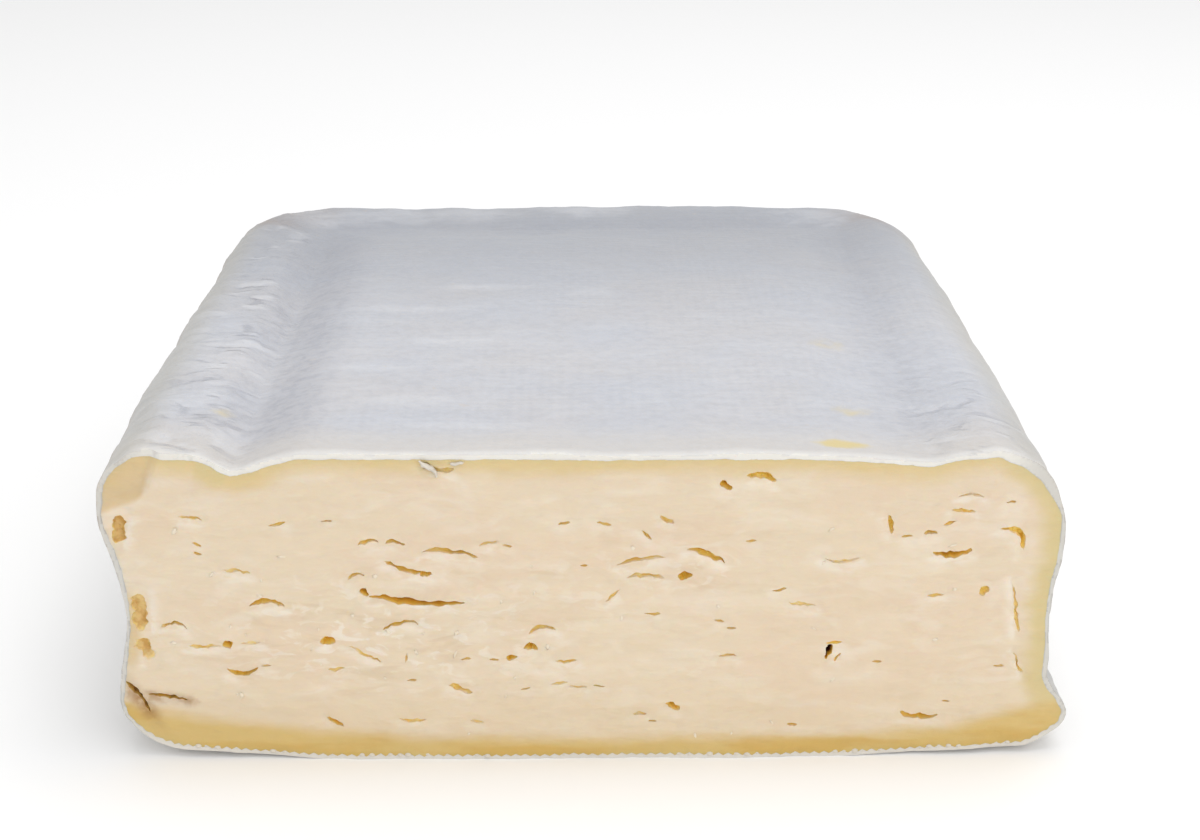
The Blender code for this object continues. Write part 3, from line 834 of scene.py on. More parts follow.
# %% Shift onto the solid and shade
LIP_ANGLE = math.radians(48)
both = np.concatenate([points_of(rind), points_of(paste)])
middle = (both.max(0) + both.min(0)) / 2
shift = np.array([block_low[0] + block_high[0], block_low[1] + block_high[1], 0]) / 2 - middle
shift[2] = -both[:, 2].min()
for piece in (rind, paste):
    piece.data.transform(Matrix.Translation(shift))
    piece.data.shade_smooth()
    piece.data.set_sharp_from_angle(angle=LIP_ANGLE)
    piece.data.materials.clear()
print("shift in mm:", np.round(shift * 1000, 2))

# %% [markdown]
# ## What the paste knows about itself
#
# The colours of the cut follow its form: yellower close under the rind, ochre inside the
# cracks and browner deeper in, which is painted shade, and paler under each opening, partly
# as a painted highlight. A shader can't measure how far a point lies behind the cut or from
# the rind, but Python can. It is worked out once and stored on the points as attributes,
# which the material then reads. Attributes stay on the mesh, from any side.

# %% How far each point lies behind the cut
NEAR_FRONT, DEEPEST = 8 * MM, 20 * MM
at = points_of(paste) - shift
across, up = at[:, 0], at[:, 2]
near_front = at[:, 1] < FRONT + NEAR_FRONT
behind = at[:, 1] - FRONT - broad_cut(across, up) - fine_cut(across, up)
set_attribute(paste, "behind", np.clip(behind, 0, DEEPEST) / MM)
set_attribute(paste, "crumbly", crumbly(across, up))
print("deepest opening in mm:", round(float(behind[behind < NEAR_FRONT].max()) / MM, 1))

# %% The outline of the cut
OUTLINE_SAMPLES, OUTLINE_STEP, OUTLINE_PARTS = 420, 4, 60


def front_outline():
    """Places (across, up) round the whole cheese where the knife goes, and the way out."""
    half = WIDTH / 2
    corners = [(-half, 0), (half, 0), (half, HEIGHT), (-half, HEIGHT), (-half, 0)]
    share = np.linspace(0, 1, OUTLINE_SAMPLES, endpoint=False)
    rounds = []
    for (x0, z0), (x1, z1) in zip(corners, corners[1:]):
        side = [x0 + (x1 - x0) * share, 0 * share + FRONT, z0 + (z1 - z0) * share]
        rounds.append(np.stack(side, 1))
    outline = cheese_points(np.concatenate(rounds))[:, [0, 2]]
    ahead = np.roll(outline, -OUTLINE_STEP, axis=0) - np.roll(outline, OUTLINE_STEP, axis=0)
    ahead /= np.maximum(np.linalg.norm(ahead, axis=1), 1e-9)[:, None]
    return outline, np.stack([ahead[:, 1], -ahead[:, 0]], 1)


def nearest_on(outline, places):
    """Distance to the outline, and which of its places is nearest, in parts to save memory."""
    distance, index = [], []
    for part in np.array_split(places.astype(np.float32), OUTLINE_PARTS):
        apart = np.linalg.norm(part[:, None, :] - outline[None].astype(np.float32), axis=2)
        index.append(apart.argmin(1))
        distance.append(apart.min(1))
    return np.concatenate(distance), np.concatenate(index)


outline, way_out = front_outline()
from_outside, nearest = nearest_on(outline, at[:, [0, 2]])
print("points on the outline:", len(outline))

# %% The yellow under the rind and over the foot
CREAM_TOP, CREAM_SIDE, FOOT_SOFTNESS = 4.6 * MM, 5.2 * MM, 2.0 * MM
FOOT_LINE = (
    (-78, 12.0), (-72.3, 9.6), (-64, 7.6), (-56.1, 6.4), (-43.1, 5.2), (-28.3, 4.4), (-6, 4.3),
    (10, 4.3), (30, 3.9), (50.4, 4.2), (60, 5.0), (68, 7.2), (72.4, 8.2), (80, 9.5),
)
from_rind = np.maximum(from_outside - RIND_TOP, 0)
beside, under_top = smooth(way_out[nearest] * 2).T
set_attribute(paste, "under_top", np.clip(1 - from_rind / CREAM_TOP, 0, 1) * under_top)
set_attribute(paste, "beside", np.clip(1 - from_rind / CREAM_SIDE, 0, 1) * beside)
foot_across, foot_up = (np.array(column) * MM for column in zip(*FOOT_LINE))
under_line = np.interp(across, foot_across, foot_up) - up
set_attribute(paste, "over_foot", np.clip(0.5 + under_line / (2 * FOOT_SOFTNESS), -1, 2))
set_attribute(paste, "low", near(up, 2, 17) * (1 - 0.3 * rise(across, 20, 30)))
print("points under the foot's line:", int((under_line > 0).sum()))

# %% The painted shade inside each opening, and its pale lip, partly painted highlight
INNER_SHADE_MARGIN, LIP_FALL, LIP_ENDS = 1.0, 2.6, 1.6
inner_shade, lip = np.zeros(len(at)), np.zeros(len(at))
for x, z, length, gape, _, tilt, arch, dark in every_opening:
    _, off, beyond = opening_frame(across, up, x, z, length, tilt, arch)
    away = np.hypot(beyond, off) / MM
    inner_shade = np.where(away < gape / 2 + INNER_SHADE_MARGIN, np.maximum(inner_shade, dark), inner_shade)
    # The pale lip lies just under each opening: partly paler broken curd, partly a painted
    # highlight where the lower lip catches the light from above.
    below = -off / MM - gape / 2
    share = smooth((below + 0.2) / 0.5) * bell(below, LIP_FALL) * bell(beyond, LIP_ENDS * MM)
    lip = np.maximum(lip, share * min(1.0, length / 4))
set_attribute(paste, "inner_shade", inner_shade)
set_attribute(paste, "lip", lip)
print("points on the lips of openings:", int((lip > 0.5).sum()))

# %% The torn corner, the recesses and the fold at the left
FLAKE_STAIN_DROP = 1 * MM
FOLD_PLACE, FOLD_WAY, BRANCH_SLOPE = (-73 * MM, 11 * MM), (0.85, 0.53), 0.14
left_edge = near(across, -73.5, 4) * near(up, 23, 15)
torn = np.maximum(torn_flake(across, up, FLAKE_STAIN_DROP), left_edge)
# The shallow recesses at the left edge, which the finish paints ochre-brown, partly their own
# colour and partly painted shade.
recess = rise(behind, 0.1, 0.35) * rise(-across, 68, 1.5) * (up > 16 * MM)
off_fold = (across - FOLD_PLACE[0]) * FOLD_WAY[0] + (up - FOLD_PLACE[1]) * FOLD_WAY[1]
past_fold = np.hypot(across + 72.5 * MM, up - 10.5 * MM)
off_branch = np.abs(up - 11 * MM + (across + 68 * MM) * BRANCH_SLOPE)
off_branch += np.maximum(across + 64 * MM, 0)
fold, branch = near(off_fold, 0, 2.4) * near(past_fold, 0, 8), 0.7 * near(off_branch, 0, 1.8)
set_attribute(paste, "torn", torn * near_front)
set_attribute(paste, "recess", recess * near_front)
set_attribute(paste, "folded", np.maximum(fold, branch) * (across < -60 * MM) * near_front)
print("points in the recesses:", int((recess * near_front > 0.5).sum()))

# %% [markdown]
# ## Material helpers
#
# Colours are written as the 0 to 255 numbers that a paint program shows and turned into
# the linear light that Blender works in. Lengths go in as millimetres, so a noise with a
# length of 4 has features about 4 mm long. A finish is built as a painter does it: a
# ground colour, then one thin tint after another, each held back by a mask.

# %% Colours, noise and steps
def paint(red, green, blue):
    """A colour from a paint program as linear light."""
    shares = [value / 255 for value in (red, green, blue)]
    linear = [v / 12.92 if v <= 0.04045 else ((v + 0.055) / 1.055) ** 2.4 for v in shares]
    return (*linear, 1.0)


class Finish(Sheet):
    """The sheet of a material, with the steps that a food finish needs."""

    def __init__(self, name):
        self.material = bpy.data.materials.new(name)
        self.material.use_nodes = True
        super().__init__(self.material.node_tree)
        self.tree.nodes.clear()
        self.place = self.node("ShaderNodeTexCoord", output="Object")
        self.colour = None

    def grain(self, length, stretch=EVEN, detail=2.0, start=0.0, distortion=0.0):
        """Noise from 0 to 1 with features of the length in mm, drawn out by the stretch."""
        scale = tuple(1 / (length * MM * share) for share in stretch)
        spot = {0: self.place, 1: scale, 2: (start, start, start)}
        place = self.node("ShaderNodeVectorMath", {"operation": "MULTIPLY_ADD"}, spot)
        inputs = {"Vector": place, "Scale": 1.0, "Detail": detail, "Distortion": distortion}
        return self.node("ShaderNodeTexNoise", {"noise_dimensions": "3D"}, inputs)

    def step(self, value, low, high):
        """0 under low, 1 over high and a soft step between."""
        inputs = {"Value": value, "From Min": low, "From Max": high}
        return self.node("ShaderNodeMapRange", {"interpolation_type": "SMOOTHSTEP"}, inputs)

    def cloud(self, length, stretch, detail, start, low, high, distortion=0.0):
        """Soft patches: noise that is turned to 0 under low and to 1 over high."""
        return self.step(self.grain(length, stretch, detail, start, distortion), low, high)

    def mask(self, name):
        """A number that the mesh carries."""
        return self.node("ShaderNodeAttribute", {"attribute_name": name}, output="Fac")

    def mixed(self, share, first, second):
        """The first colour, going over to the second by the share."""
        inputs = {0: share, 6: first, 7: second}
        return self.node("ShaderNodeMix", {"data_type": "RGBA"}, inputs, output=2)

    def tint(self, share, colour):
        """One more layer of paint over the colour so far."""
        self.colour = self.mixed(share, self.colour, colour)

    def bump(self, height, distance, below=None):
        """A bumpy normal, on top of another one where that is given."""
        inputs = {"Height": height, "Distance": distance}
        if below is not None:
            inputs["Normal"] = below
        return self.node("ShaderNodeBump", None, inputs)

    def shade(self, sockets):
        """The Principled shader at the end of the sheet."""
        shader = self.node("ShaderNodeBsdfPrincipled", None, {"Base Color": self.colour, **sockets})
        self.feed(self.tree.nodes.new("ShaderNodeOutputMaterial").inputs["Surface"], shader)
        return self.material


print("cream in linear light:", [round(v, 3) for v in paint(236, 218, 190)[:3]])

# %% [markdown]
# ## The paste's finish
#
# Ripe paste is pale cream, a little translucent, with level paler smears where the blade
# dragged it. It deepens to yellow under the rind, most at the foot. Inside the cracks it
# turns ochre, and deeper in it is painted brown, in one hole nearly black: painted shade
# for the depth of the cracks. Under each opening it is painted paler, partly broken curd
# and partly a painted highlight on the lit lower lip.
# The translucency is real subsurface scattering. The deeper colours are painted by the
# attributes, so that they stay in place from any side.

# %% The ground colour of the cut
CREAM, ROSY, PALE = paint(223, 206, 180), paint(222, 200, 174), paint(229, 217, 198)
SHADED, CURD_WHITE, LOW_TINT = paint(206, 184, 154), paint(233, 225, 212), paint(214, 193, 158)


def lay_cream(sheet):
    """Cream with blushes, smears of the blade, darker patches that in the torn curd are painted
    shade for its relief, white flecks where the curd tore, and pale lips under the openings, partly
    painted highlight.
    """
    crumbly_share = sheet.mask("crumbly")
    blush = sheet.cloud(15, (1.6, 1, 0.8), 2, 8.4, 0.44, 0.66)
    smear = sheet.cloud(7, (1.7, 1, 0.6), 3, 3.1, 0.46, 0.7, 0.9)
    shade = sheet.cloud(6, (1.9, 1, 0.5), 4, 6.6, 0.54, 0.7, 0.9)
    flecks = sheet.cloud(2.6, (1.7, 1, 0.8), 4, 9.3, 0.54, 0.64, 0.8)
    broken = sheet.cloud(2.2, (1.8, 1, 0.8), 3, 4.4, 0.36, 0.6, 0.5)
    sheet.colour = sheet.mixed(blush * 0.5, CREAM, ROSY)
    sheet.tint(smear * 0.5, PALE)
    # Darker patches: faint everywhere, and stronger in the crumbly zone as painted shade for the
    # relief of the torn curd.
    sheet.tint(shade * (0.16 + crumbly_share * 0.3), SHADED)
    sheet.tint(flecks * crumbly_share * 0.7, CURD_WHITE)
    # Under each opening: paler broken curd and a painted highlight on the lit lower lip.
    sheet.tint(sheet.mask("lip") * broken * 0.65, CURD_WHITE)
    sheet.tint(sheet.mask("low") * 0.4, LOW_TINT)


# %% The yellow parts of the paste
UNDER_TOP, BESIDE, TORN = paint(216, 193, 143), paint(211, 192, 143), paint(210, 184, 138)
GOLD, RICH_GOLD = paint(210, 182, 118), paint(203, 166, 86)


def lay_yellow(sheet):
    """Yellow under the rind, on torn paste and over the foot. Gives the share of the foot."""
    uneven = (sheet.grain(6, (2.4, 1, 0.8), 3, 5.5) - 0.5) * 0.8
    richer = sheet.cloud(12, (2.4, 1, 0.4), 3, 1.8, 0.42, 0.6)
    sheet.tint(sheet.step(sheet.mask("under_top") + uneven, 0.1, 0.95), UNDER_TOP)
    sheet.tint(sheet.step(sheet.mask("beside") + uneven, 0.1, 0.9), BESIDE)
    sheet.tint(sheet.step(sheet.mask("torn") + uneven * 0.7, 0.3, 0.9) * 0.75, TORN)
    foot = sheet.step(sheet.mask("over_foot") + uneven * 0.9, 0.15, 1.0)
    sheet.tint(foot, GOLD)
    sheet.tint(foot * richer * 0.7, RICH_GOLD)
    return foot


# %% Inside the openings
# Honey and ochre are the curd's own colour; the brown and the near black at the end are painted
# shade deep in the cracks.
INNER_COLOURS_AND_SHADE = (
    (0.08, 0.3, paint(232, 206, 140)),
    (0.25, 0.7, paint(241, 210, 112)),
    (0.7, 1.3, paint(241, 199, 86)),
    (1.3, 2.2, paint(222, 173, 72)),
    (2.4, 3.8, paint(92, 46, 30)),
)
RECESS_DARK, RECESS_PALE = paint(192, 146, 86), paint(214, 182, 128)
FOLD_BROWN = paint(160, 118, 66)


def lay_openings(sheet):
    """Honey and ochre, the curd's own colour, then brown to near black as painted shade, by how far
    behind the cut a place is and how much painted shade its opening gets. The recesses at the left
    edge turn ochre-brown, partly painted shade.
    """
    depth = sheet.mask("behind") * (0.45 + sheet.mask("inner_shade"))
    uneven_depth = depth + (sheet.grain(0.9, EVEN, 3) - 0.5) * 0.5
    for start, end, inner in INNER_COLOURS_AND_SHADE:
        sheet.tint(sheet.step(uneven_depth, start, end), inner)
    recess_cloud = sheet.cloud(1.8, EVEN, 3, 3.9, 0.4, 0.62)
    recess_colour = sheet.mixed(recess_cloud, RECESS_DARK, RECESS_PALE)
    # Ochre-brown with darker clouds in the recesses: partly the curd's colour, partly painted
    # shade.
    sheet.tint(sheet.mask("recess") * 0.8, recess_colour)
    fold_cloud = sheet.cloud(2.2, EVEN, 3, 5.1, 0.38, 0.6)
    sheet.tint(sheet.mask("folded") * (0.45 + fold_cloud * 0.5), FOLD_BROWN)


# %% Paste
def paste_finish():
    """Moist, slightly translucent curd with a fine grain."""
    sheet = Finish("paste")
    lay_cream(sheet)
    foot = lay_yellow(sheet)
    lay_openings(sheet)
    rough = 0.5 + (sheet.grain(2.0, (1.5, 1, 0.7), 3, 2.2) - 0.5) * 0.35 - foot * 0.08
    curd = sheet.bump(sheet.grain(1.1, (2.0, 1, 0.7), 4, 6.0), 0.12 * MM)
    return sheet.shade(
        {
            "Roughness": rough,
            "Normal": sheet.bump(sheet.grain(0.3, (1.4, 1, 1), 2, 1.0), 0.03 * MM, curd),
            "IOR": 1.42,
            "Subsurface Weight": 0.35,
            "Subsurface Radius": (1.0, 0.55, 0.25),
            "Subsurface Scale": 1.4 * MM,
        }
    )


paste.data.materials.append(paste_finish())
print("paste nodes:", len(paste.data.materials[0].node_tree.nodes))

# %% [markdown]
# ## What the rind knows about itself
#
# White mould isn't one white. It thins over the raised rim, yellows where it was rubbed,
# browns a little at the back corners, and the fluffy edge that the knife bared is the
# whitest place. Each of these is a mask on the points, made from where the point lies.
# The two tables give rubbed spots and white spots on the top: centre, half width and half
# length in millimetres, and how strong each is. The white spots are partly thicker mould
# and partly painted highlight on the back rim and the left rim.

# %% Where the rind's points lie
FACING_CUT = -0.75
at = points_of(rind)
raw = at - shift
facing = normals_of(rind)
_, _, out_x, out_y, inset = plan_place(raw[:, 0], raw[:, 1])
from_cut = raw[:, 1] - FRONT - broad_cut(raw[:, 0], raw[:, 2])
on_top = rise(at[:, 2], 42, 6)
bared = (facing[:, 1] < FACING_CUT) * (1 - rise(from_cut, 0.3, 0.5))
set_attribute(rind, "on_top", on_top)
set_attribute(rind, "from_cut", np.clip(from_cut, 0, 1) / MM)
set_attribute(rind, "cut_edge", bared)
set_attribute(rind, "flank", rise(np.abs(raw[:, 0]), 66, 7))
set_attribute(rind, "foot", 0.8 * (1 - rise(at[:, 2], 2, 7)))
print("points on the bared edge:", int((bared > 0.5).sum()))

# %% Spots on the top
WORN_SPOTS = (
    (40.0, -71.5, 6.5, 2.4, 1.0),
    (43.5, -57.0, 7.0, 4.0, 0.5),
    (43.5, -24.0, 8.0, 6.0, 0.42),
    (-61.0, -56.0, 3.6, 3.0, 0.6),
    (-24.0, -75.0, 3.5, 1.2, 0.5),
)
# White spots: along the back rim and on the left rim they are painted highlight where the rim
# catches the light; the streaks over the middle of the top are thicker mould.
BLOOM_AND_HIGHLIGHT_SPOTS = (
    (-56, 60, 9, 4.5, 1), (-42, 61, 8, 4, 1), (-26, 62, 9, 3.5, 1), (0, 64, 9, 3.5, 1),
    (53, 60, 10, 4, 1), (-22, 9, 9, 1.8, 1), (-34, -5, 10, 1.8, 1), (-24, -23, 12, 2, 1),
    (-38, -38, 9, 1.8, 1), (-30, -53, 12, 1.8, 1), (-19, -64, 10, 1.6, 1), (1, 6, 4, 3, 1),
    (-63, -36, 8, 4, 1), (-66, -52, 6, 3.5, 1), (-62, -67, 7, 2.2, 1),
)


def spotted(spots, reach):
    """The strongest of the spots at each point of the rind's top."""
    strongest = np.zeros(len(at))
    for x, y, wide, long, strength in spots:
        away = np.hypot((at[:, 0] - x * MM) / (wide * MM), (at[:, 1] - y * MM) / (long * MM))
        strongest = np.maximum(strongest, strength * bell(away, reach))
    return strongest * on_top


set_attribute(rind, "worn", spotted(WORN_SPOTS, 1.3))
set_attribute(rind, "bloom_and_highlight", spotted(BLOOM_AND_HIGHLIGHT_SPOTS, 2.2))
print("spots:", len(WORN_SPOTS), "rubbed and", len(BLOOM_AND_HIGHLIGHT_SPOTS), "white")

# %% Painted shade for the back and the hollows of the top, and its crinkled places
past_crest = raw[:, 0] + WIDTH / 2 - TROUGH_INSET
in_valley = near(past_crest, 7, 9) * rise(past_crest, 0, 2) * (1 - 0.6 * rise(at[:, 1], 20, 40))
left = near(at[:, 0], -64, 13) * rise(at[:, 2], 38, 6) * (1 - 0.5 * rise(at[:, 1], -10, 60))
right = near(at[:, 0], 62, 17) * near(at[:, 1], -62, 40)
# Painted shade on the top: greyer towards the back, darker on the flank right of the left crest,
# and darker in the trough.
set_attribute(rind, "far", rise(at[:, 1], -35, 95) * on_top)
set_attribute(rind, "valley_shade", in_valley * on_top)
set_attribute(rind, "trough", near(inset - TROUGH_INSET, 0, 9) * on_top)
set_attribute(rind, "crinkled", np.clip(left + 0.8 * right, 0, 1))
print("crinkled points:", int((left + 0.8 * right > 0.5).sum()))

# %% The browned shoulders and corners
SHOULDER_UPWARD, WALL_UPWARD, RIGHT_SHARE = 0.965, 0.74, 0.55
from_corner = np.hypot(np.abs(raw[:, 0]) - 68 * MM, raw[:, 1] - 64 * MM)
back_corner = np.clip(1.2 * near(from_corner, 0, 19), 0, 1)
over_back = smooth((SHOULDER_UPWARD - facing[:, 2]) / 0.12) * np.maximum(out_y, 0)
over_side = smooth((WALL_UPWARD - facing[:, 2]) / 0.3) * np.abs(out_x)
over_side *= np.where(raw[:, 0] < 0, 1.0, RIGHT_SHARE)
upper = rise(at[:, 2], 30, 14) * (inset < 14 * MM)
set_attribute(rind, "shoulder", np.maximum(over_back, over_side) * upper)
set_attribute(rind, "stained", back_corner * rise(at[:, 2], 20, 20))
print("browned points:", int((back_corner > 0.5).sum()))

# %% [markdown]
# ## The rind's finish
#
# The rind is matt and velvety: high roughness and a little sheen for the mould's nap. Its
# relief is in the mesh, so the bump only adds what is finer: the nap and the weave of the
# draining mat, as two crossed waves that come and go over the skin.

# %% The skin's ground colour and weave
COOL, WARM, WHITE = paint(191, 193, 200), paint(197, 193, 192), paint(214, 215, 219)
GREY, HOLLOW_SHADE = paint(152, 155, 162), paint(150, 152, 162)
WEAVE_PITCH = 1.7 * MM


def weave_of(sheet):
    """Two crossed waves at the mat's pitch, from -1 to 1."""
    waves = []
    for axis in "XY":
        along = sheet.node("ShaderNodeSeparateXYZ", None, {0: sheet.place}, output=axis)
        turn = along * (2 * math.pi / WEAVE_PITCH)
        waves.append(sheet.node("ShaderNodeMath", {"operation": "SINE"}, {0: turn}))
    return (waves[0] + waves[1]) * 0.5 * sheet.cloud(20, EVEN, 2, 5.0, 0.35, 0.6)


def lay_skin(sheet, weave):
    """Cool white, clouded and mottled, with painted shade greying it far back and in the trough and
    the valley.
    """
    mottled = sheet.cloud(1.6, (1.3, 1, 1), 4, 8.1, 0.4, 0.7)
    hollow = sheet.mask("trough") * 0.25 + sheet.mask("valley_shade") * 0.5
    sheet.colour = sheet.mixed(sheet.cloud(28, (1.3, 1, 1), 3, 4.0, 0.38, 0.64) * 0.5, COOL, WARM)
    sheet.tint(sheet.cloud(4.5, (3.2, 0.8, 1), 4, 1.7, 0.42, 0.74, 0.4) * 0.22, WHITE)
    sheet.tint(mottled * 0.16, GREY)
    # Painted shade: the top greyer towards the back.
    sheet.tint(sheet.mask("far") * 0.78, GREY)
    sheet.tint((weave * 0.5 + 0.5) * sheet.mask("on_top") * 0.09, GREY)
    # Painted shade in the trough and on the flank right of the left crest.
    sheet.tint(hollow * (0.6 + mottled * 0.4), HOLLOW_SHADE)


# %% Bloom with painted highlight, stains, and folds with painted shade
NEAR_CUT, FLANK_TONE_AND_SHADE, STAIN = paint(207, 200, 190), paint(174, 171, 161), paint(146, 130, 118)
SHOULDER, FOLD_SHADE = paint(160, 143, 126), paint(146, 148, 158)
RUBBED, SPECK = paint(210, 193, 142), paint(194, 180, 162)


def lay_bloom(sheet, wavy):
    """White spots, partly thicker mould and partly painted highlight on the rims, a warmer tone
    near the cut, and darker, warmer walls, partly their own colour and partly painted shade.
    """
    near_cut = 1 - sheet.step(sheet.mask("from_cut") + wavy * 6, 3.0, 15.0)
    # White spots, partly thicker mould and partly painted highlight.
    sheet.tint(sheet.step(sheet.mask("bloom_and_highlight") + wavy * 1.6, 0.05, 1.6) * 0.4, WHITE)
    sheet.tint(near_cut * sheet.mask("on_top") * 0.5, NEAR_CUT)
    # The walls painted darker and warmer: partly their own colour, partly painted shade where they
    # turn from the light.
    sheet.tint(sheet.mask("flank") * 0.6, FLANK_TONE_AND_SHADE)


def lay_stains(sheet):
    """Brown on the back corners, tan on the shoulders."""
    stained = sheet.mask("stained") + (1 - sheet.mask("on_top")) * 0.25
    stains = sheet.cloud(7, (1, 1, 0.6), 4, 2.6, 0.45, 0.7)
    sheet.tint(stained * (0.3 + stains * 0.4), STAIN)
    sheet.tint(sheet.mask("shoulder") * (0.25 + stains * 0.25), SHOULDER)


def lay_folds(sheet):
    """Painted shade along fine folds, with a painted highlight on the ridge beside each. Gives the
    lines of the folds.
    """
    folds = sheet.grain(9, (1.5, 0.55, 1), 2, 5.2, 0.5) - 0.5
    off_fold = sheet.node("ShaderNodeMath", {"operation": "ABSOLUTE"}, {0: folds})
    where = sheet.mask("crinkled") * sheet.cloud(6, EVEN, 2, 8.8, 0.42, 0.6)
    fold_line = (1 - sheet.step(off_fold, 0.0, 0.05)) * where
    # Painted shade along each fold, and a painted highlight on the ridge beside it.
    sheet.tint(fold_line * 0.45, FOLD_SHADE)
    sheet.tint(sheet.step(folds, 0.03, 0.12) * where * 0.5, WHITE)
    return fold_line


def lay_rubbed(sheet):
    """Yellow spots where the mould was rubbed off, and tan specks all over."""
    ragged = (sheet.grain(2.4, EVEN, 3) - 0.5) * 0.5
    sheet.tint(sheet.step(sheet.mask("worn") + ragged, 0.25, 0.8), RUBBED)
    sheet.tint(sheet.cloud(3.2, EVEN, 3, 7.7, 0.7, 0.8) * 0.35, SPECK)


# %% Edges of the skin, and the whole rind
LIP_WHITE, FOOT_WHITE = paint(222, 220, 217), paint(216, 210, 200)
EDGE_WHITE, EDGE_GREY = paint(230, 227, 219), paint(208, 205, 198)


def lay_edges(sheet, wavy):
    """The fluffy lip over the cut, the bared edge and the foot."""
    flank = sheet.mask("flank")
    at_lip = 1 - sheet.step(sheet.mask("from_cut") + wavy * 1.2, 0.4, 2.6)
    sheet.tint(at_lip * sheet.mask("on_top") * (1 - flank * 0.7) * 0.7, LIP_WHITE)
    sheet.tint(sheet.mask("cut_edge") * 0.85, sheet.mixed(flank, EDGE_WHITE, EDGE_GREY))
    sheet.tint(sheet.mask("foot"), FOOT_WHITE)


def rind_finish():
    """Velvety white mould with the weave of the mat."""
    sheet = Finish("rind")
    weave = weave_of(sheet)
    wavy = (sheet.grain(3.5, (1.6, 0.8, 1), 4, 2.9, 0.6) - 0.5) * 0.9
    lay_skin(sheet, weave)
    lay_bloom(sheet, wavy)
    lay_stains(sheet)
    fold_line = lay_folds(sheet)
    lay_rubbed(sheet)
    lay_edges(sheet, wavy)
    crinkle = sheet.grain(2.6, (1.4, 0.8, 1), 4, 3.3, 0.5) * (0.25 + sheet.mask("crinkled"))
    bumps = sheet.bump(crinkle - fold_line * 0.5, 0.5 * MM)
    bumps = sheet.bump(weave, 0.025 * MM, bumps)
    return sheet.shade(
        {
            "Roughness": 0.82 + (sheet.grain(1.5, EVEN, 2, 6.1) - 0.5) * 0.2,
            "Normal": sheet.bump(sheet.grain(0.7, EVEN, 4, 0.5), 0.07 * MM, bumps),
            "IOR": 1.4,
            "Sheen Weight": 0.25,
            "Sheen Roughness": 0.5,
            "Subsurface Weight": 0.12,
            "Subsurface Radius": (1.0, 0.8, 0.6),
            "Subsurface Scale": 0.8 * MM,
        }
    )


rind.data.materials.append(rind_finish())
print("rind nodes:", len(rind.data.materials[0].node_tree.nodes))

# %% [markdown]
# ## Beads from the draining mat
#
# The fresh cheese stood on a mat, which left a row of small beads along the lower edge of
# the cut. Anything that repeats along a path is work for Geometry Nodes: a line under the
# edge, points along it at the mat's pitch, and a pressed drop at each point. The tree ends
# in Realize Instances, so the row becomes one plain mesh.

# %% The recipe of the beads
BEADS = {"Pitch": MAT_PITCH, "Radius": 0.78 * MM, "Unevenness": 0.6, "Wander": 0.28 * MM}


def clouded_finish(name, length, start, first, second, roughness):
    """A plain finish in two near colours."""
    sheet = Finish(name)
    sheet.colour = sheet.mixed(sheet.grain(length, EVEN, 2, start), first, second)
    return sheet.shade({"Roughness": roughness})


def bead_recipe(material):
    """Pressed drops at the mat's pitch along a line, each a little off it and of its own size."""
    sheet = Recipe("mat beads", BEADS)
    pitch, radius, uneven, wander = sheet.size.values()
    line = sheet.node("GeometryNodeMeshToCurve", None, {"Mesh": sheet.geometry})
    spacing = {"Curve": line, "Length": pitch}
    spaced = sheet.node("GeometryNodeCurveToPoints", {"mode": "LENGTH"}, spacing)
    drop = sheet.node("GeometryNodeMeshIcoSphere", None, {"Radius": radius, "Subdivisions": 2})
    pressing = {"Geometry": drop, "Scale": (0.9, 0.9, 0.62)}
    pressed = sheet.node("GeometryNodeTransform", None, pressing)
    size = sheet.random(1 - uneven, 1.0, 4)
    push = {0: sheet.random((-1, -0.4, -0.4), (1, 0.4, 0.4), 9), "Scale": wander}
    offset = sheet.node("ShaderNodeVectorMath", {"operation": "SCALE"}, push)
    strewn = sheet.node("GeometryNodeSetPosition", None, {"Geometry": spaced, "Offset": offset})
    setting = {"Points": strewn, "Instance": pressed, "Scale": size}
    sheet.end_as_mesh(sheet.node("GeometryNodeInstanceOnPoints", None, setting), material)
    return sheet


bead_white = clouded_finish("mat beads", 2.5, 3.0, paint(222, 214, 200), paint(204, 198, 188), 0.8)
print("bead material:", bead_white.name)

# %% The row of beads
BEAD_SET_BACK, BEAD_HEIGHT = 0.42 * MM, 0.75 * MM
BEAD_WANDER, BEAD_WANDER_LENGTH = 0.35 * MM, 3 * MM
BEAD_LEFT, BEAD_RIGHT, BEAD_STEPS = -64 * MM, 72 * MM, 120
under_edge = outline[:OUTLINE_SAMPLES]
foot_edge = []
for x in np.linspace(BEAD_LEFT, BEAD_RIGHT, BEAD_STEPS):
    low = float(np.interp(x, under_edge[:, 0], under_edge[:, 1]))
    wander = BEAD_WANDER * noise.noise(Vector((x / BEAD_WANDER_LENGTH, 2.2, 0)))
    y = FRONT + one_value(broad_cut, x, low) + BEAD_SET_BACK + wander
    foot_edge.append(shift + (x, y, low + BEAD_HEIGHT + wander / 2))
bead_line = bpy.data.meshes.new("mat_beads")
bead_line.from_pydata(foot_edge, [(i, i + 1) for i in range(BEAD_STEPS - 1)], [])
beads = bead_recipe(bead_white).apply_to(add_object("mat_beads", bead_line))
print("beads:", len(beads.data.polygons), "faces")

# %% [markdown]
# ## Crumbs and slivers of curd
#
# A blade never leaves a cut clean. It drags out crumbs of curd, most where the paste is
# open, and at the nick in the top it lifted two slivers of rind. The crumbs repeat, so they
# are instances on scattered points, each turned and sized at random from a fixed seed. The
# slivers are single things and use the same lens as the openings, laid on the cut.

# %% The recipe of the crumbs
CRUMBS = {"Size": 0.38 * MM, "Smallest": 0.35}


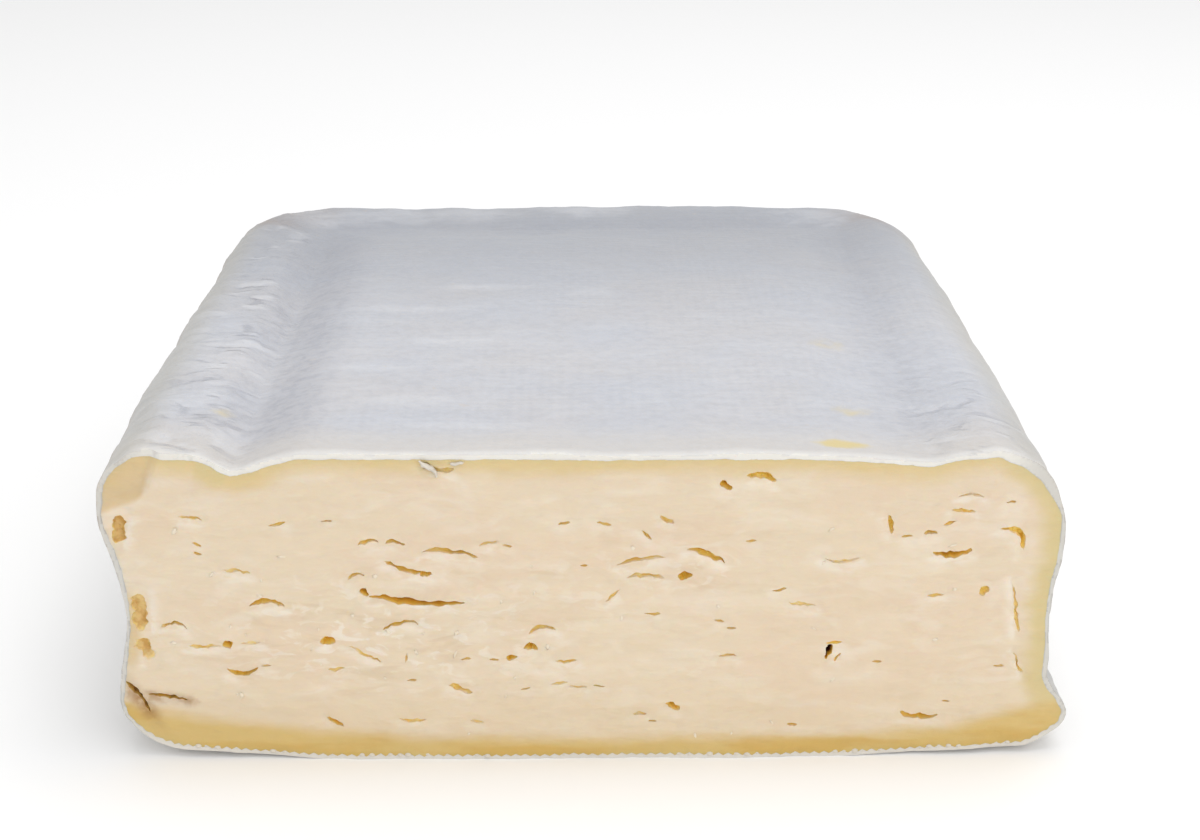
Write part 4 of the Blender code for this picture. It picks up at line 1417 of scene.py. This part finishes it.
def crumb_recipe(material):
    """A lumpy ball on each point, pressed against the cut and turned about the way out."""
    sheet = Recipe("curd crumbs", CRUMBS)
    size, smallest = sheet.size.values()
    ball = sheet.node("GeometryNodeMeshIcoSphere", None, {"Radius": size, "Subdivisions": 2})
    place = sheet.node("GeometryNodeInputPosition")
    lump = {"Vector": place, "Scale": 1.3 / size}
    lumps = (sheet.node("ShaderNodeTexNoise", {"noise_dimensions": "3D"}, lump) - 0.5) * 2.4
    lumpy = sheet.node("ShaderNodeVectorMath", {"operation": "SCALE"}, {0: place, "Scale": lumps})
    crumb = sheet.node("GeometryNodeSetPosition", None, {"Geometry": ball, "Offset": lumpy})
    least = sheet.node("ShaderNodeCombineXYZ", None, {0: smallest, 1: 0.3, 2: smallest})
    more = sheet.random((0, 0, 0), (1.5, 0.1, 0.6), 3)
    setting = {
        "Points": sheet.geometry,
        "Instance": crumb,
        "Rotation": sheet.random((0, 0, 0), (0, 6.28, 0), 2),
        "Scale": sheet.node("ShaderNodeVectorMath", {"operation": "ADD"}, {0: more, 1: least}),
    }
    sheet.end_as_mesh(sheet.node("GeometryNodeInstanceOnPoints", None, setting), material)
    return sheet


curd_pale, curd_deep = paint(232, 222, 204), paint(224, 208, 182)
curd_finish = clouded_finish("curd crumbs", 1.5, 5.0, curd_pale, curd_deep, 0.55)
print("crumb material:", curd_finish.name)

# %% Crumbs on the cut
CRUMB_COUNT, CRUMB_SEED, CRUMB_CLEAR, CRUMB_LEAST = 42, 6, 0.5 * MM, 0.12
CRUMB_ACROSS, CRUMB_UP = (-68, 68), (4, 49)


def clear_of_openings(x, z):
    """True where a crumb would hang over no opening."""
    spot = np.array([x]), np.array([z])
    for across, up, length, gape, _, tilt, arch, _ in every_opening:
        _, off, beyond = opening_frame(*spot, across, up, length, tilt, arch)
        if np.hypot(beyond, off)[0] < gape * MM / 2 + CRUMB_CLEAR:
            return False
    return True


draw = np.random.default_rng(CRUMB_SEED)
crumb_places = []
while len(crumb_places) < CRUMB_COUNT:
    x, z = draw.uniform(*CRUMB_ACROSS) * MM, draw.uniform(*CRUMB_UP) * MM
    likely = CRUMB_LEAST + (1 - CRUMB_LEAST) * one_value(crumbly, x, z)
    if draw.random() < likely * clear_of_openings(x, z):
        y = FRONT + one_value(broad_cut, x, z) + one_value(fine_cut, x, z)
        crumb_places.append(shift + (x, y, z))
crumb_mesh = bpy.data.meshes.new("crumbs")
crumb_mesh.from_pydata(crumb_places, [], [])
crumbs = crumb_recipe(curd_finish).apply_to(add_object("crumbs", crumb_mesh))
print("crumbs:", len(crumbs.data.polygons), "faces")

# %% Slivers at the nick
SLIVERS = ((-24.2, 52.2, 4.0, 0.75, 0.7, -42, 0.3), (-19.6, 53.2, 2.2, 0.7, 0.6, 4, 0.0))
strips = bpy.data.collections.new("slivers")
both_strips = bmesh.new()
for number, sizes in enumerate(SLIVERS):
    strip = make_opening(f"sliver {number}", strips, *sizes)
    both_strips.from_mesh(strip.data)
    bpy.data.objects.remove(strip, do_unlink=True)
bpy.data.collections.remove(strips)
bmesh.ops.recalc_face_normals(both_strips, faces=both_strips.faces)
bmesh.ops.translate(both_strips, vec=Vector(shift), verts=both_strips.verts)
sliver_mesh = bpy.data.meshes.new("slivers")
both_strips.to_mesh(sliver_mesh)
both_strips.free()
sliver_mesh.shade_smooth()
sliver_mesh.materials.append(bead_white)
slivers = add_object("slivers", sliver_mesh)
print("slivers:", len(sliver_mesh.polygons), "faces")

# %% [markdown]
# ## The floor, the light and the camera
#
# The block stands on a plain pale floor. The world gives an even white light, as a light
# tent does. One large soft light above and behind models the rim and the trough, and a
# weaker one in front keeps the cut bright.

# %% Floor
FLOOR_REACH = 4.0
corners = [(x * FLOOR_REACH, y * FLOOR_REACH, 0) for x, y in ((-1, -1), (1, -1), (1, 1), (-1, 1))]
floor_mesh = bpy.data.meshes.new("floor")
floor_mesh.from_pydata(corners, [], [(0, 1, 2, 3)])
floor_sheet = Finish("floor")
floor_sheet.colour = paint(250, 250, 250)
floor_mesh.materials.append(floor_sheet.shade({"Roughness": 0.9}))
add_object("floor", floor_mesh)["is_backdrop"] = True
print("floor is", 2 * FLOOR_REACH, "m square")

# %% Lights
WORLD_STRENGTH, LIGHT_AIM = 0.70, Vector((0, 0, 0.03))


def soft_light(name, place, size, power):
    """A square area light that looks at the middle of the block."""
    lamp = bpy.data.lights.new(name, "AREA")
    lamp.shape, lamp.size, lamp.energy = "SQUARE", size, power
    obj = add_object(name, lamp)
    obj.location = place
    obj.rotation_euler = (LIGHT_AIM - Vector(place)).to_track_quat("-Z", "Y").to_euler()


world = bpy.data.worlds.new("light tent")
world.use_nodes = True
background = world.node_tree.nodes["Background"]
background.inputs["Color"].default_value = (1, 1, 1, 1)
background.inputs["Strength"].default_value = WORLD_STRENGTH
bpy.context.scene.world = world
soft_light("overhead", (0.15, 0.05, 1.0), 0.8, 4.0)
soft_light("front", (0.42, -1.2, 0.8), 1.5, 6.8)
bpy.context.scene.view_settings.view_transform = "Standard"
print("lights:", len(bpy.data.lights))

# %% Camera
CAMERA_PLACE = (-1.479 * MM, -365.018 * MM, 174.795 * MM)
CAMERA_DOWN, CAMERA_RIGHT = 21.646, 0.592
lens = bpy.data.cameras.new("camera")
lens.lens, lens.sensor_width, lens.clip_start = 60, 36, 0.01
camera = add_object("camera", lens)
camera.location = CAMERA_PLACE
camera.rotation_euler = (math.radians(90 - CAMERA_DOWN), 0, -math.radians(CAMERA_RIGHT))
bpy.context.scene.camera = camera
print("camera looks down by", CAMERA_DOWN, "degrees")

# %% [markdown]
# ## Riding on the frame
#
# All pieces ride on the one body, and the rind and the paste stand for the solid together.
# The last lines write the box of the solid and of the dressed part, to compare them.

# %% Hand over to the frame
pieces = ((rind, "rind"), (paste, "paste"), (beads, "rind"), (crumbs, "paste"), (slivers, "rind"))
for piece, slot in pieces:
    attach(piece, "root")
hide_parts("brie")
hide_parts("brie")
visual_box = [list(corner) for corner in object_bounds()]
for name, box in (("solid", cad_box), ("dressed", visual_box)):
    print(name, "box in mm:", [[round(value * 1000, 2) for value in corner] for corner in box])
